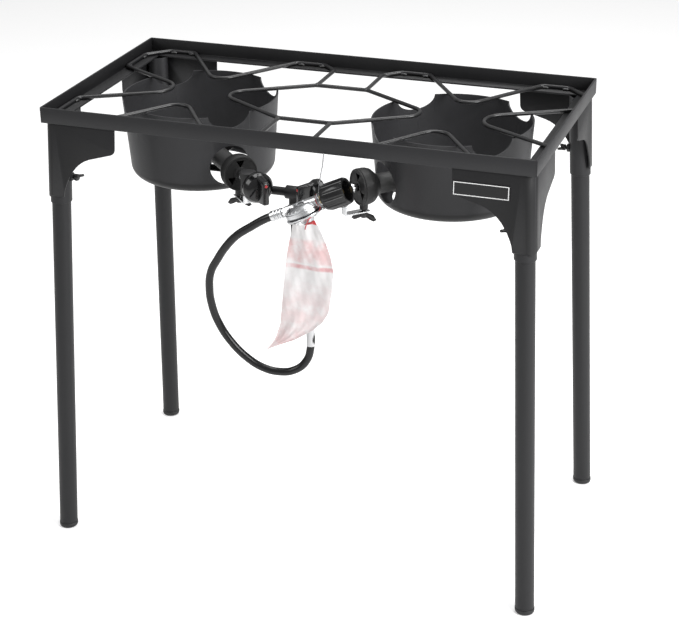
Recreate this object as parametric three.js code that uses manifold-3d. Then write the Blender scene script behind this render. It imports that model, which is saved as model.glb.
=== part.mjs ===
// A two-burner propane stand: an angle-iron top frame with bent grate rods, two windshields with cast
// burners, four clamped legs, and the gas line from its regulator to the two control valves.
// Millimetres, +Z up. The knobs face -Y and the origin is on the floor under the middle of the stand.
import * as THREE from "three";
import { mergeVertices } from "three/addons/utils/BufferGeometryUtils.js";
import Module from "manifold-3d";

const wasm = await Module();
wasm.setup();

// ---------------------------------------------------------------- driving dimensions
const WIDTH = 780; // top frame, outside
const DEPTH = 399;
const HEIGHT = 745; // floor to the top edge of the frame
const ANGLE = 25; // angle iron, both legs
const ANGLE_WALL = 3;
const FIT = 0.3; // gap between pieces that touch or are welded
const ROD_R = 3.2; // grate rod
const ARC_STEP = 0.6; // radians per step on a rounded corner of a rod
const LOOP_HALF = 43; // straight sides of the middle loop
const LOOP_Y = 85; // its front and back, from the middle
const LOOP_TIP = 180; // its pointed ends
const TIE_Y = 168; // where a side run bends out towards the rail
const FINGER_HALF = 94; // half width of a front or back finger at the rail
const FINGER_TIP_Y = 55;
const SIDE_FINGER_Y = 88; // half width of a side finger
const ROD_CORNER = 34; // the run's cut corner

const SPLAY = 0.0437; // outward lean of each leg, mm per mm of drop, in X and in Y
const LEG_R = 15;
const LEG_WALL = 1.5;
const SOCKET_WALL = 1.5;
const SOCKET_SLACK = 0.4; // radial room for the leg in its socket
const SOCKET_LENGTH = 132;
const SHEET = 2; // bracket plate
const BRACKET_INSET = 2.4; // bracket face behind the rail face
const BRACKET_SPAN = 124; // each flange, along the rail
const BRACKET_DROP = 121; // below the rail
const CAP_HEIGHT = 9; // visible part of the foot cap
const CAP_PLUG = 15; // part inside the leg
const BOLT_DROP = 90; // wing bolt below the rail
const BOLT_R = 3;
const BOLT_WING_SPAN = 13;
const BOLT_WING_RISE = 9;
const WELD_NUT_LENGTH = 5; // on the socket's outside, for the wing bolt

const POT_X = 210; // windshield centres, left and right of the middle
const POT_TOP_R = 125;
const POT_FOOT_R = 117;
const POT_DEPTH = 128;
const POT_WALL = 2;
const POT_CORNER = 18; // rounded lower edge
const POT_LIP_R = 92; // open bottom
const SCALLOP_HALF = 34; // half width of a notch in the rim
const SCALLOP_DEPTH = 22;
const AIR_HOLE_R = 32.5;

const AXIS_DROP = 80; // gas axis below the rail
const HEAD_R = 52; // burner head
const HEAD_HEIGHT = 26;
const VENTURI_R = 15.5;
const BELL_R = 28.5;
const BELL_END = 160; // bell mouth, from the pot centre along the gas axis
const BELL_LENGTH = 30;
const CAST_WALL = 3;
const SHUTTER_WALL = 1.5;
const SPUD_R = 4.5;
const SPUD_BACK = 178; // where the spud screws into the valve
const VALVE_S = 192; // valve body centre along the gas axis
const VALVE_R = 12.5;
const VALVE_RISE = 13; // barrel top above the gas axis
const VALVE_FOOT = 11; // barrel bottom below the pipe
const STEM_R = 3.5; // spindle under the knob
const STEM_LENGTH = 10; // spindle inside the knob
const KNOB_S = 223; // back of the knob
const KNOB_R = 24;
const KNOB_SKIRT = 9;
const KNOB_LENGTH = 39;
const GRIP_THICK = 13; // finger bar across the knob
const PIPE_R = 6.7;
const PIPE_DROP = 12; // manifold pipe below the gas axis
const TEE_HALF = 12; // half length of the inlet tee on the pipe
const INLET_DROP = 30; // tee's lower end below the pipe
const STRIP_THICK = 2; // plated strip from the valve to the bell's lug
const STRIP_HALF = 7; // half its width
const LUG_R = 6.5; // lug under the bell
const LUG_DROP = 8; // its lower end below the bell
const LUG_INSET = 8; // its middle behind the bell's mouth
const WING_SPAN = 20; // wing screw in the lug
const WING_RISE = 11;
const STRAP_HALF = 12; // half width of the strap that carries the head
const STRAP_THICK = 2.5;

const HOSE_R = 6.3;
const FERRULE_R = 7.8;
const FERRULE_LENGTH = 20;
const REGULATOR_X = 47; // middle of the regulator's line
const REGULATOR_Y = -227; // far enough forward for the right knob to turn behind it
const REGULATOR_RISE = 6; // above the gas axis
const REGULATOR_TILT = THREE.MathUtils.degToRad(25);
const BODY_R = 28;
const BODY_BOSS = 4; // hose side
const BODY_NECK = 7; // tank side
const BODY_HEIGHT = 17;
const BODY_ABOVE = 5; // body top above the line
const NECK_R = 8.5;
const BOSS_R = 7;
const BONNET_HEIGHT = 13;
const ADJUSTER_HEIGHT = 16;
const NUT_R = 20.5;
const NUT_LENGTH = 39;
const NUT_GAP = 6; // from the neck to the nut
const NUT_WALL = 5;
const FLUTE_COUNT = 12;
const FLUTE_DEPTH = 1.8;
const TAG_THICK = 1.4;
const TIE_R = 0.9; // wire from the frame to the regulator's neck
const PLATE_WIDTH = 84; // blank name plate
const PLATE_HEIGHT = 22;
const PLATE_THICK = 0.8;

// ---------------------------------------------------------------- derived heights and places
const RAIL_Z = HEIGHT - ANGLE; // underside of the frame
const ROD_Z = RAIL_Z + ANGLE_WALL + FIT + ROD_R;
const POT_TOP_Z = ROD_Z - ROD_R - FIT;
const POT_FOOT_Z = POT_TOP_Z - POT_DEPTH;
const GAS_Z = RAIL_Z - AXIS_DROP;
const VALVE_LOW = GAS_Z - PIPE_DROP - VALVE_FOOT;
const REGULATOR = new THREE.Vector3(REGULATOR_X, REGULATOR_Y, GAS_Z + REGULATOR_RISE);
const SOCKET_BORE = LEG_R + SOCKET_SLACK;
const SOCKET_R = SOCKET_BORE + SOCKET_WALL;
const BEND_R = SOCKET_R + FIT; // inside of the bracket's bend, close around the socket
const LEG_INSET = BRACKET_INSET + SHEET + BEND_R;
const BOLT_Z = RAIL_Z - BOLT_DROP;

// ---------------------------------------------------------------- finishes
const finish = (color, roughness, metalness) => new THREE.MeshStandardMaterial({ color, roughness, metalness });
const POWDER_BLACK = finish(0x2b2b2c, 0.55, 0.3);
const ROD_BLACK = finish(0x303031, 0.45, 0.4);
const CAST_BLACK = finish(0x1f1f20, 0.75, 0.4);
const KNOB_BLACK = finish(0x101011, 0.2, 0);
const ZINC = finish(0xb9bcc0, 0.3, 1);
const BRASS = finish(0xc9a253, 0.3, 1);
const RUBBER = finish(0x151515, 0.6, 0);
const RED = finish(0x9c1418, 0.4, 0);
const FILM = finish(0xf3e9e8, 0.4, 0);

// ---------------------------------------------------------------- geometry helpers
// A closed three.js geometry as a manifold-3d solid.
function solid(geometry) {
  const bare = geometry.clone();
  bare.deleteAttribute("normal");
  bare.deleteAttribute("uv");
  const merged = mergeVertices(bare, 1e-4);
  return new wasm.Manifold(
    new wasm.Mesh({
      numProp: 3,
      vertProperties: merged.attributes.position.array,
      triVerts: new Uint32Array(merged.index.array),
    }),
  );
}

// The surface of a manifold-3d solid as a three.js geometry.
function surface(body) {
  const mesh = body.getMesh();
  const geometry = new THREE.BufferGeometry();
  geometry.setAttribute("position", new THREE.BufferAttribute(mesh.vertProperties, 3));
  geometry.setIndex(new THREE.BufferAttribute(mesh.triVerts, 1));
  return geometry;
}

// Joins the geometries in the first list and cuts those in the second away.
function combine(joined, cut = []) {
  const whole = joined.map(solid).reduce((sum, next) => sum.add(next));
  return surface(cut.map(solid).reduce((rest, tool) => rest.subtract(tool), whole));
}

// What two closed geometries have in common.
function common(first, second) {
  return surface(solid(first).intersect(solid(second)));
}

function reverseFaces(geometry) {
  const index = geometry.index.array;
  for (let i = 0; i < index.length; i += 3) [index[i], index[i + 1]] = [index[i + 1], index[i]];
}

// Moves a geometry by a matrix; a mirroring matrix also turns its faces back outwards.
function moved(geometry, matrix) {
  const result = geometry.index ? geometry.clone() : mergeVertices(geometry);
  result.applyMatrix4(matrix);
  if (matrix.determinant() < 0) reverseFaces(result);
  return result;
}

const vec = (x, y, z) => new THREE.Vector3(x, y, z);

// A matrix that takes the Y axis to the line from one point towards another.
function along(from, to) {
  const turn = new THREE.Quaternion();
  turn.setFromUnitVectors(vec(0, 1, 0), to.clone().sub(from).normalize());
  return new THREE.Matrix4().compose(from, turn, vec(1, 1, 1));
}

// A turned piece: profile points are [radius, distance from the first point towards the second].
function turned(profile, from, to, sides = 24) {
  const points = profile.map(([r, s]) => new THREE.Vector2(r, s));
  const area = THREE.ShapeUtils.area(points);
  if (area < 0) points.reverse();
  const closed = points[0].x > 0 ? [...points, points[0].clone()] : points;
  return moved(new THREE.LatheGeometry(closed, sides), along(from, to));
}

// A plain round bar between two points.
function bar(radius, from, to, sides = 20) {
  const length = from.distanceTo(to);
  return turned([[0, 0], [radius, 0], [radius, length], [0, length]], from, to, sides);
}

// A box given by two opposite corners.
function block(low, high) {
  const size = high.clone().sub(low);
  const box = new THREE.BoxGeometry(size.x, size.y, size.z);
  box.translate(...low.clone().add(high).multiplyScalar(0.5).toArray());
  return box;
}

// A flat outline in X and Z, given a thickness along +Y.
function slab(shape, y0, y1, curveSegments = 12) {
  const geometry = new THREE.ExtrudeGeometry(shape, { depth: y1 - y0, bevelEnabled: false, curveSegments });
  geometry.rotateX(Math.PI / 2); // outline Y becomes Z, depth becomes -Y
  geometry.translate(0, y1, 0);
  return geometry;
}

function polygon(points) {
  return new THREE.Shape(points.map(([x, y]) => new THREE.Vector2(x, y)));
}

// A wire that runs through given points; the steps of its sweep are exactly those points.
class BentWire extends THREE.Curve {
  constructor(points) {
    super();
    this.points = points;
  }
  getPoint(t) {
    return this.points[Math.round(t * (this.points.length - 1))].clone();
  }
  getSpacedPoints() {
    return this.points.map((p) => p.clone());
  }
  computeFrenetFrames() {
    const up = vec(0, 0, 1);
    const tangents = this.points.map((p, i) => {
      const before = this.points[Math.max(i - 1, 0)];
      const after = this.points[Math.min(i + 1, this.points.length - 1)];
      return after.clone().sub(before).normalize();
    });
    const binormals = tangents.map(() => up.clone());
    const normals = tangents.map((t) => up.clone().cross(t).normalize());
    return { tangents, normals, binormals };
  }
}

// Rounds the corners of a flat route; each corner gets its own radius, and the ends stay sharp.
function roundedRoute(corners, z) {
  const points = [];
  corners.forEach(([x, y, radius], i) => {
    const here = new THREE.Vector2(x, y);
    if (!radius) {
      points.push(vec(x, y, z));
      return;
    }
    const toBefore = new THREE.Vector2(...corners[i - 1].slice(0, 2)).sub(here).normalize();
    const toAfter = new THREE.Vector2(...corners[i + 1].slice(0, 2)).sub(here).normalize();
    const half = Math.acos(THREE.MathUtils.clamp(toBefore.dot(toAfter), -1, 1)) / 2;
    const centre = here.clone().add(toBefore.clone().add(toAfter).setLength(radius / Math.sin(half)));
    const start = here.clone().addScaledVector(toBefore, radius / Math.tan(half)).sub(centre);
    const end = here.clone().addScaledVector(toAfter, radius / Math.tan(half)).sub(centre);
    const turn = Math.atan2(start.cross(end), start.dot(end));
    const steps = Math.max(2, Math.ceil(Math.abs(turn) / ARC_STEP));
    for (let k = 0; k <= steps; k++) {
      const p = start.clone().rotateAround(new THREE.Vector2(), (turn * k) / steps).add(centre);
      points.push(vec(p.x, p.y, z));
    }
  });
  return points;
}

// A regular outline for a swept wire or tube.
function roundSection(radius, sides) {
  const corners = Array.from({ length: sides }, (_, i) => {
    const a = (2 * Math.PI * (i + 0.5)) / sides;
    return [radius * Math.cos(a), radius * Math.sin(a)];
  });
  return polygon(corners);
}

function wire(points, radius, sides = 6) {
  const extrudePath = new BentWire(points);
  return new THREE.ExtrudeGeometry(roundSection(radius, sides), { steps: points.length - 1, extrudePath });
}

function tube(points, radius, steps, sides = 8) {
  const extrudePath = new THREE.CatmullRomCurve3(points, false, "centripetal");
  return new THREE.ExtrudeGeometry(roundSection(radius, sides), { steps, extrudePath });
}

const group = new THREE.Group();

function node(name, geometry, material) {
  const flat = geometry.index ? geometry.toNonIndexed() : geometry;
  flat.computeVertexNormals();
  const mesh = new THREE.Mesh(flat, material);
  mesh.name = name;
  group.add(mesh);
}

// ---------------------------------------------------------------- top frame
// One mitred length of angle iron: `inset` runs inwards from the outer face.
function rail(length, turn, offset) {
  const shape = polygon([
    [0, RAIL_Z],
    [ANGLE, RAIL_Z],
    [ANGLE, RAIL_Z + ANGLE_WALL],
    [ANGLE_WALL, RAIL_Z + ANGLE_WALL],
    [ANGLE_WALL, HEIGHT],
    [0, HEIGHT],
  ]);
  const bent = slab(shape, 0, 1);
  const position = bent.attributes.position;
  for (let i = 0; i < position.count; i++) {
    const inset = position.getX(i);
    const reach = length / 2 - inset - FIT;
    position.setXYZ(i, position.getY(i) > 0.5 ? reach : -reach, inset - offset, position.getZ(i));
  }
  const result = mergeVertices(bent);
  reverseFaces(result); // swapping the outline's two directions turned it inside out
  return moved(result, new THREE.Matrix4().makeRotationZ(turn));
}

node("rail_front", rail(WIDTH, 0, DEPTH / 2), POWDER_BLACK);
node("rail_right", rail(DEPTH, Math.PI / 2, WIDTH / 2), POWDER_BLACK);
node("rail_back", rail(WIDTH, Math.PI, DEPTH / 2), POWDER_BLACK);
node("rail_left", rail(DEPTH, -Math.PI / 2, WIDTH / 2), POWDER_BLACK);

// ---------------------------------------------------------------- grate rods
const FLANGE_X = WIDTH / 2 - ANGLE_WALL - ROD_R - 1; // rods lie on the rail's inner ledge
const FLANGE_Y = DEPTH / 2 - ANGLE_WALL - ROD_R - 1;

function middleLoop() {
  const route = roundedRoute(
    [
      [-FIT, LOOP_Y, 0],
      [-LOOP_HALF, LOOP_Y, 16],
      [-LOOP_TIP, 0, 26],
      [-LOOP_HALF, -LOOP_Y, 16],
      [LOOP_HALF, -LOOP_Y, 16],
      [LOOP_TIP, 0, 26],
      [LOOP_HALF, LOOP_Y, 16],
      [FIT, LOOP_Y, 0],
    ],
    ROD_Z,
  );
  const bead = bar(ROD_R + 0.8, vec(-4, LOOP_Y, ROD_Z), vec(4, LOOP_Y, ROD_Z), 8);
  return combine([wire(route, ROD_R), bead]);
}

// The run on one side: a tie to the loop, the back finger, the side finger and the front finger.
function sideRun(side) {
  const joint = LOOP_Y + ROD_R + FIT;
  const half = [
    [LOOP_HALF - 1, joint, 0],
    [LOOP_HALF - 1, TIE_Y, 14],
    [LOOP_HALF + 24, FLANGE_Y, 14],
    [POT_X - FINGER_HALF, FLANGE_Y, 12],
    [POT_X, FINGER_TIP_Y, 24],
    [POT_X + FINGER_HALF, FLANGE_Y, 12],
    [FLANGE_X - ROD_CORNER, FLANGE_Y, 14],
    [FLANGE_X, FLANGE_Y - ROD_CORNER, 14],
    [FLANGE_X, SIDE_FINGER_Y, 12],
    [POT_X + 15, 0, 34],
  ];
  const mirrored = half.slice(0, -1).reverse().map(([x, y, r]) => [x, -y, r]);
  const route = [...half, ...mirrored].map(([x, y, r]) => [side * x, y, r]);
  return wire(roundedRoute(route, ROD_Z), ROD_R);
}

node("grate_loop_middle", middleLoop(), ROD_BLACK);
node("grate_run_right", sideRun(1), ROD_BLACK);
node("grate_run_left", sideRun(-1), ROD_BLACK);

// ---------------------------------------------------------------- corners: bracket, socket, bolt, leg, cap
// Corner pieces are drawn with the outer corner of the frame at the origin and X and Y pointing inwards.
// This matrix leans them outwards below the frame and puts them at their own corner.
function corner(sx, sy) {
  const lean = SPLAY * RAIL_Z;
  return new THREE.Matrix4().set(
    -sx, 0, -sx * SPLAY, sx * (WIDTH / 2 + lean),
    0, -sy, -sy * SPLAY, sy * (DEPTH / 2 + lean),
    0, 0, 1, 0,
    0, 0, 0, 1,
  );
}

// The same corner without the lean, for a piece that stands level at height z.
function levelCorner(sx, sy, z) {
  const lean = SPLAY * (RAIL_Z - z);
  return new THREE.Matrix4().set(
    -sx, 0, 0, sx * (WIDTH / 2 + lean),
    0, -sy, 0, sy * (DEPTH / 2 + lean),
    0, 0, 1, 0,
    0, 0, 0, 1,
  );
}

// Outline of one bracket flange: straight under the rail, then a hollow curve down to the leg.
function flangeShape() {
  const top = RAIL_Z - FIT;
  const low = RAIL_Z - BRACKET_DROP;
  const shape = new THREE.Shape();
  shape.moveTo(-5, low + 4);
  shape.lineTo(BRACKET_INSET, low + 4);
  shape.lineTo(BRACKET_INSET + 4, low);
  shape.lineTo(LEG_INSET + 12, low);
  shape.lineTo(LEG_INSET + 15, low + 4);
  shape.lineTo(LEG_INSET + 16, low + 14);
  shape.quadraticCurveTo(LEG_INSET + 30, RAIL_Z - 58, LEG_INSET + 66, RAIL_Z - 50);
  shape.lineTo(BRACKET_SPAN - 10, RAIL_Z - 42);
  shape.quadraticCurveTo(BRACKET_SPAN, RAIL_Z - 40, BRACKET_SPAN, RAIL_Z - 31);
  shape.lineTo(BRACKET_SPAN, top);
  shape.lineTo(-5, top);
  return shape;
}

function bracket() {
  const inner = BRACKET_INSET + SHEET;
  const plan = new THREE.Shape();
  plan.moveTo(BRACKET_INSET + BEND_R + SHEET, BRACKET_INSET);
  plan.lineTo(BRACKET_SPAN + 1, BRACKET_INSET);
  plan.lineTo(BRACKET_SPAN + 1, inner);
  plan.lineTo(LEG_INSET, inner);
  plan.absarc(LEG_INSET, LEG_INSET, BEND_R, -Math.PI / 2, -Math.PI, true);
  plan.lineTo(inner, BRACKET_SPAN + 1);
  plan.lineTo(BRACKET_INSET, BRACKET_SPAN + 1);
  plan.lineTo(BRACKET_INSET, LEG_INSET);
  plan.absarc(LEG_INSET, LEG_INSET, BEND_R + SHEET, Math.PI, 1.5 * Math.PI, false);
  const sheet = new THREE.ExtrudeGeometry(plan, {
    depth: BRACKET_DROP + 2,
    bevelEnabled: false,
    curveSegments: 8,
  });
  sheet.translate(0, 0, RAIL_Z - BRACKET_DROP - 1);
  const flange = slab(flangeShape(), -5, BRACKET_SPAN + 5, 10);
  const turnedFlange = moved(flange, new THREE.Matrix4().set(0, 1, 0, 0, 1, 0, 0, 0, 0, 0, 1, 0, 0, 0, 0, 1));
  return common(common(sheet, flange), turnedFlange);
}

const LEG_LINE = (z) => vec(LEG_INSET, LEG_INSET, z);

function socket() {
  const low = RAIL_Z - SOCKET_LENGTH;
  const pipe = turned(
    [[SOCKET_BORE, 0], [SOCKET_R, 0], [SOCKET_R, SOCKET_LENGTH - FIT], [SOCKET_BORE, SOCKET_LENGTH - FIT]],
    LEG_LINE(low),
    LEG_LINE(RAIL_Z),
    20,
  );
  const boltLine = (x) => vec(LEG_INSET + x, LEG_INSET, BOLT_Z);
  const nut = bar(6, boltLine(SOCKET_BORE + 0.5), boltLine(SOCKET_R + WELD_NUT_LENGTH), 6);
  const thread = bar(BOLT_R + FIT, boltLine(LEG_R - 2), boltLine(SOCKET_R + 8), 16);
  return combine([pipe, nut], [thread]);
}

// A wing screw: a shank from its tip to the hub and two raised wings on the hub.
function wingScrew(tip, hub, shankR, wingSpan, wingRise) {
  const axis = hub.clone().sub(tip).normalize();
  const hubEnd = hub.clone().addScaledVector(axis, wingRise * 0.75);
  const shank = bar(shankR, tip, hub.clone().addScaledVector(axis, 1), 10);
  const hubBody = bar(shankR + 2.2, hub, hubEnd, 10);
  const wing = polygon([
    [shankR, 0.5],
    [wingSpan * 0.75, wingRise * 0.35],
    [wingSpan, wingRise],
    [wingSpan * 0.8, wingRise * 1.25],
    [wingSpan * 0.55, wingRise * 1.1],
    [shankR, wingRise * 0.7],
  ]);
  const plate = new THREE.ExtrudeGeometry(wing, { depth: 2.6, bevelEnabled: false });
  plate.translate(0, 0, -1.3);
  const wings = [0, Math.PI].map((turn) => {
    return moved(plate, along(hub, hubEnd).multiply(new THREE.Matrix4().makeRotationY(turn)));
  });
  return combine([shank, hubBody, ...wings]);
}

function legTube() {
  const low = CAP_HEIGHT + FIT;
  const length = RAIL_Z - 2 * FIT - low;
  return turned(
    [[LEG_R - LEG_WALL, 0], [LEG_R, 0], [LEG_R, length], [LEG_R - LEG_WALL, length]],
    LEG_LINE(low),
    LEG_LINE(RAIL_Z),
    20,
  );
}

function footCap() {
  const plugR = LEG_R - LEG_WALL - FIT;
  const profile = [
    [0, 0],
    [LEG_R - 2.4, 0],
    [LEG_R + 0.6, 3.4],
    [LEG_R + 0.6, CAP_HEIGHT],
    [plugR, CAP_HEIGHT],
    [plugR, CAP_HEIGHT + CAP_PLUG],
    [0, CAP_HEIGHT + CAP_PLUG],
  ];
  return turned(profile, LEG_LINE(0), LEG_LINE(1), 18);
}

const CORNERS = { fl: [-1, -1], fr: [1, -1], bl: [-1, 1], br: [1, 1] };
const boltTip = vec(LEG_INSET + LEG_R + FIT, LEG_INSET, BOLT_Z);
const boltHub = vec(LEG_INSET + SOCKET_R + WELD_NUT_LENGTH + 2, LEG_INSET, BOLT_Z);
for (const [key, [sx, sy]] of Object.entries(CORNERS)) {
  const place = corner(sx, sy);
  node("bracket_" + key, moved(bracket(), place), POWDER_BLACK);
  node("socket_" + key, moved(socket(), place), POWDER_BLACK);
  const bolt = wingScrew(boltTip, boltHub, BOLT_R, BOLT_WING_SPAN, BOLT_WING_RISE);
  node("wing_bolt_" + key, moved(bolt, levelCorner(sx, sy, BOLT_Z)), POWDER_BLACK);
  node("leg_" + key, moved(legTube(), place), POWDER_BLACK);
  node("foot_cap_" + key, moved(footCap(), place), RUBBER);
}

// ---------------------------------------------------------------- blank name plate on the right front bracket
const plateFace = DEPTH / 2 - BRACKET_INSET + FIT; // the bracket leans, so the plate leans with it
const namePlate = block(
  vec(WIDTH / 2 - BRACKET_SPAN + 2, -plateFace - PLATE_THICK, RAIL_Z - 40),
  vec(WIDTH / 2 - BRACKET_SPAN + 2 + PLATE_WIDTH, -plateFace, RAIL_Z - 40 + PLATE_HEIGHT),
);
const plateLean = new THREE.Matrix4().set(1, 0, 0, 0, 0, 1, SPLAY, -SPLAY * RAIL_Z, 0, 0, 1, 0, 0, 0, 0, 1);
node("name_plate", moved(namePlate, plateLean), POWDER_BLACK);

// ---------------------------------------------------------------- burner units
// Each unit points from its pot towards the front of the middle, at 45 degrees.
function burnerUnit(side) {
  const suffix = side < 0 ? "_left" : "_right";
  const centre = vec(side * POT_X, 0, 0);
  const heading = vec(-side, -1, 0).normalize();
  const gasLine = (s, z = GAS_Z) => centre.clone().addScaledVector(heading, s).setZ(z);
  const upright = (z) => vec(centre.x, 0, z);

  // windshield with four notches in the rim and one air hole
  const cornerR = POT_FOOT_R - POT_CORNER;
  const arc = (r) => [0, 1, 2, 3].map((k) => {
    const a = (Math.PI / 2) * (k / 3);
    return [cornerR + r * Math.sin(a), POT_CORNER - r * Math.cos(a)];
  });
  const profile = [
    [POT_LIP_R, 0],
    ...arc(POT_CORNER),
    [POT_TOP_R, POT_DEPTH],
    [POT_TOP_R - POT_WALL, POT_DEPTH],
    ...arc(POT_CORNER - POT_WALL).reverse(),
    [POT_LIP_R, POT_WALL],
  ];
  const shell = turned(profile, upright(POT_FOOT_Z), upright(POT_TOP_Z), 36);
  const notch = new THREE.CylinderGeometry(1, 1, 60, 14);
  const notches = [0, 1, 2, 3].map((k) => {
    const a = Math.PI / 4 + (k * Math.PI) / 2;
    const tool = notch.clone();
    tool.scale(SCALLOP_HALF, 1, SCALLOP_DEPTH);
    tool.applyMatrix4(new THREE.Matrix4().makeRotationZ(a - Math.PI / 2));
    tool.translate(centre.x + POT_TOP_R * Math.cos(a), POT_TOP_R * Math.sin(a), POT_TOP_Z + 1);
    return tool;
  });
  const airHole = bar(AIR_HOLE_R, gasLine(POT_FOOT_R - 25), gasLine(POT_TOP_R + 20), 24);
  node("windshield" + suffix, combine([shell], [...notches, airHole]), POWDER_BLACK);

  // cast burner: head, venturi tube and bell mouth, with a lug under the bell for the wing screw
  const headLow = GAS_Z - HEAD_HEIGHT / 2;
  const strapTop = POT_FOOT_Z + POT_WALL + FIT + STRAP_THICK;
  const head = turned(
    [
      [0, 0],
      [HEAD_R - 12, 0],
      [HEAD_R, 8],
      [HEAD_R, HEAD_HEIGHT - 5],
      [HEAD_R - 7, HEAD_HEIGHT],
      [0, HEAD_HEIGHT + 3],
    ],
    upright(headLow),
    upright(HEIGHT),
    20,
  );
  const foot = bar(13, upright(strapTop + FIT), upright(headLow + 3), 16);
  const stem = bar(VENTURI_R, gasLine(HEAD_R - 20), gasLine(BELL_END - BELL_LENGTH + 2), 16);
  const bell = turned(
    [
      [VENTURI_R - 4, 0],
      [VENTURI_R, 0],
      [BELL_R - 3, BELL_LENGTH * 0.35],
      [BELL_R, BELL_LENGTH * 0.6],
      [BELL_R, BELL_LENGTH],
      [BELL_R - CAST_WALL, BELL_LENGTH],
      [BELL_R - CAST_WALL, BELL_LENGTH * 0.6],
      [VENTURI_R - 4, BELL_LENGTH * 0.3],
    ],
    gasLine(BELL_END - BELL_LENGTH),
    gasLine(BELL_END),
    20,
  );
  const bore = bar(VENTURI_R - 4, gasLine(HEAD_R), gasLine(BELL_END + 2), 16);
  const lugS = BELL_END - LUG_INSET;
  const lugLow = GAS_Z - BELL_R - LUG_DROP;
  const lug = bar(LUG_R, gasLine(lugS, lugLow), gasLine(lugS, GAS_Z - BELL_R + 1.5), 12);
  const lugBore = bar(BOLT_R + FIT, gasLine(lugS, lugLow - 4), gasLine(lugS, GAS_Z - BELL_R + 8), 12);
  node("burner" + suffix, combine([head, foot, stem, bell, lug], [bore, lugBore]), CAST_BLACK);

  // strap across the open bottom that carries the head
  const strapR = POT_FOOT_R - POT_CORNER - 2;
  const strap = block(
    vec(centre.x - strapR, -STRAP_HALF, POT_FOOT_Z + POT_WALL + FIT),
    vec(centre.x + strapR, STRAP_HALF, strapTop),
  );
  node("burner_strap" + suffix, strap, POWDER_BLACK);

  // air shutter: a disc with three windows, turning on the gas axis
  const disc = new THREE.Shape();
  disc.absarc(0, 0, BELL_R - 0.5, 0, 2 * Math.PI, false);
  const middle = new THREE.Path();
  middle.absarc(0, 0, SPUD_R + 1.5, 0, 2 * Math.PI, true);
  disc.holes.push(middle);
  for (let k = 0; k < 3; k++) {
    const at = (r, a) => new THREE.Vector2(r * Math.cos(a), r * Math.sin(a));
    const a = (2 * Math.PI * k) / 3;
    disc.holes.push(new THREE.Path([at(9.5, a), at(BELL_R - 6, a + 0.42), at(BELL_R - 6, a - 0.42)]));
  }
  const plateSize = { depth: SHUTTER_WALL, bevelEnabled: false, curveSegments: 14 };
  const plate = new THREE.ExtrudeGeometry(disc, plateSize);
  plate.rotateX(-Math.PI / 2);
  const shutterFrom = gasLine(BELL_END + FIT);
  node("air_shutter" + suffix, moved(plate, along(shutterFrom, gasLine(BELL_END + 10))), CAST_BLACK);

  // plated spud through the middle of the shutter
  const spud = turned(
    [
      [1, 0],
      [SPUD_R - 1.5, 0],
      [SPUD_R, 3],
      [SPUD_R, 16],
      [SPUD_R + 3, 16],
      [SPUD_R + 3, 24],
      [SPUD_R, 24],
      [SPUD_R, SPUD_BACK - BELL_END + 10],
      [1, SPUD_BACK - BELL_END + 10],
    ],
    gasLine(BELL_END - 10),
    gasLine(BELL_END),
    12,
  );
  node("spud" + suffix, spud, ZINC);

  // valve body: an upright barrel on the gas axis with a port to the spud and a stem to the knob
  const barrel = bar(VALVE_R, gasLine(VALVE_S, VALVE_LOW), gasLine(VALVE_S, GAS_Z + VALVE_RISE), 18);
  const port = bar(8.5, gasLine(SPUD_BACK + FIT), gasLine(VALVE_S), 14);
  const nose = bar(9, gasLine(VALVE_S), gasLine(KNOB_S - 1), 14);
  const spindle = bar(STEM_R, gasLine(VALVE_S), gasLine(KNOB_S + STEM_LENGTH), 12);
  node("valve" + suffix, combine([barrel, port, nose, spindle]), CAST_BLACK);

  // knob: round skirt, domed cap and a deep finger bar
  const knobBody = turned(
    [
      [STEM_R + FIT, 0],
      [KNOB_R, 0],
      [KNOB_R, KNOB_SKIRT],
      [KNOB_R - 2, KNOB_SKIRT + 5],
      [KNOB_R - 9, KNOB_SKIRT + 10],
      [0, KNOB_SKIRT + 12],
      [0, STEM_LENGTH + 1],
      [STEM_R + FIT, STEM_LENGTH + 1],
    ],
    gasLine(KNOB_S),
    gasLine(KNOB_S + 10),
    24,
  );
  const grip = new THREE.Shape();
  grip.moveTo(-KNOB_R + 1, 4);
  grip.lineTo(KNOB_R - 1, 4);
  grip.quadraticCurveTo(KNOB_R - 1, KNOB_LENGTH - 8, KNOB_R - 6, KNOB_LENGTH);
  grip.lineTo(-KNOB_R + 6, KNOB_LENGTH);
  grip.quadraticCurveTo(-KNOB_R + 1, KNOB_LENGTH - 8, -KNOB_R + 1, 4);
  const fin = new THREE.ExtrudeGeometry(grip, { depth: GRIP_THICK, bevelEnabled: false, curveSegments: 3 });
  fin.translate(0, 0, -GRIP_THICK / 2);
  const up = vec(0, 0, 1);
  const upwards = new THREE.Matrix4().makeBasis(up, heading, up.clone().cross(heading));
  const finPlace = upwards.clone().setPosition(gasLine(KNOB_S));
  const bossRoom = bar(STEM_R + FIT, gasLine(KNOB_S - 1), gasLine(KNOB_S + STEM_LENGTH + 1), 12);
  node("knob" + suffix, combine([knobBody, moved(fin, finPlace)], [bossRoom]), KNOB_BLACK);

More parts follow.
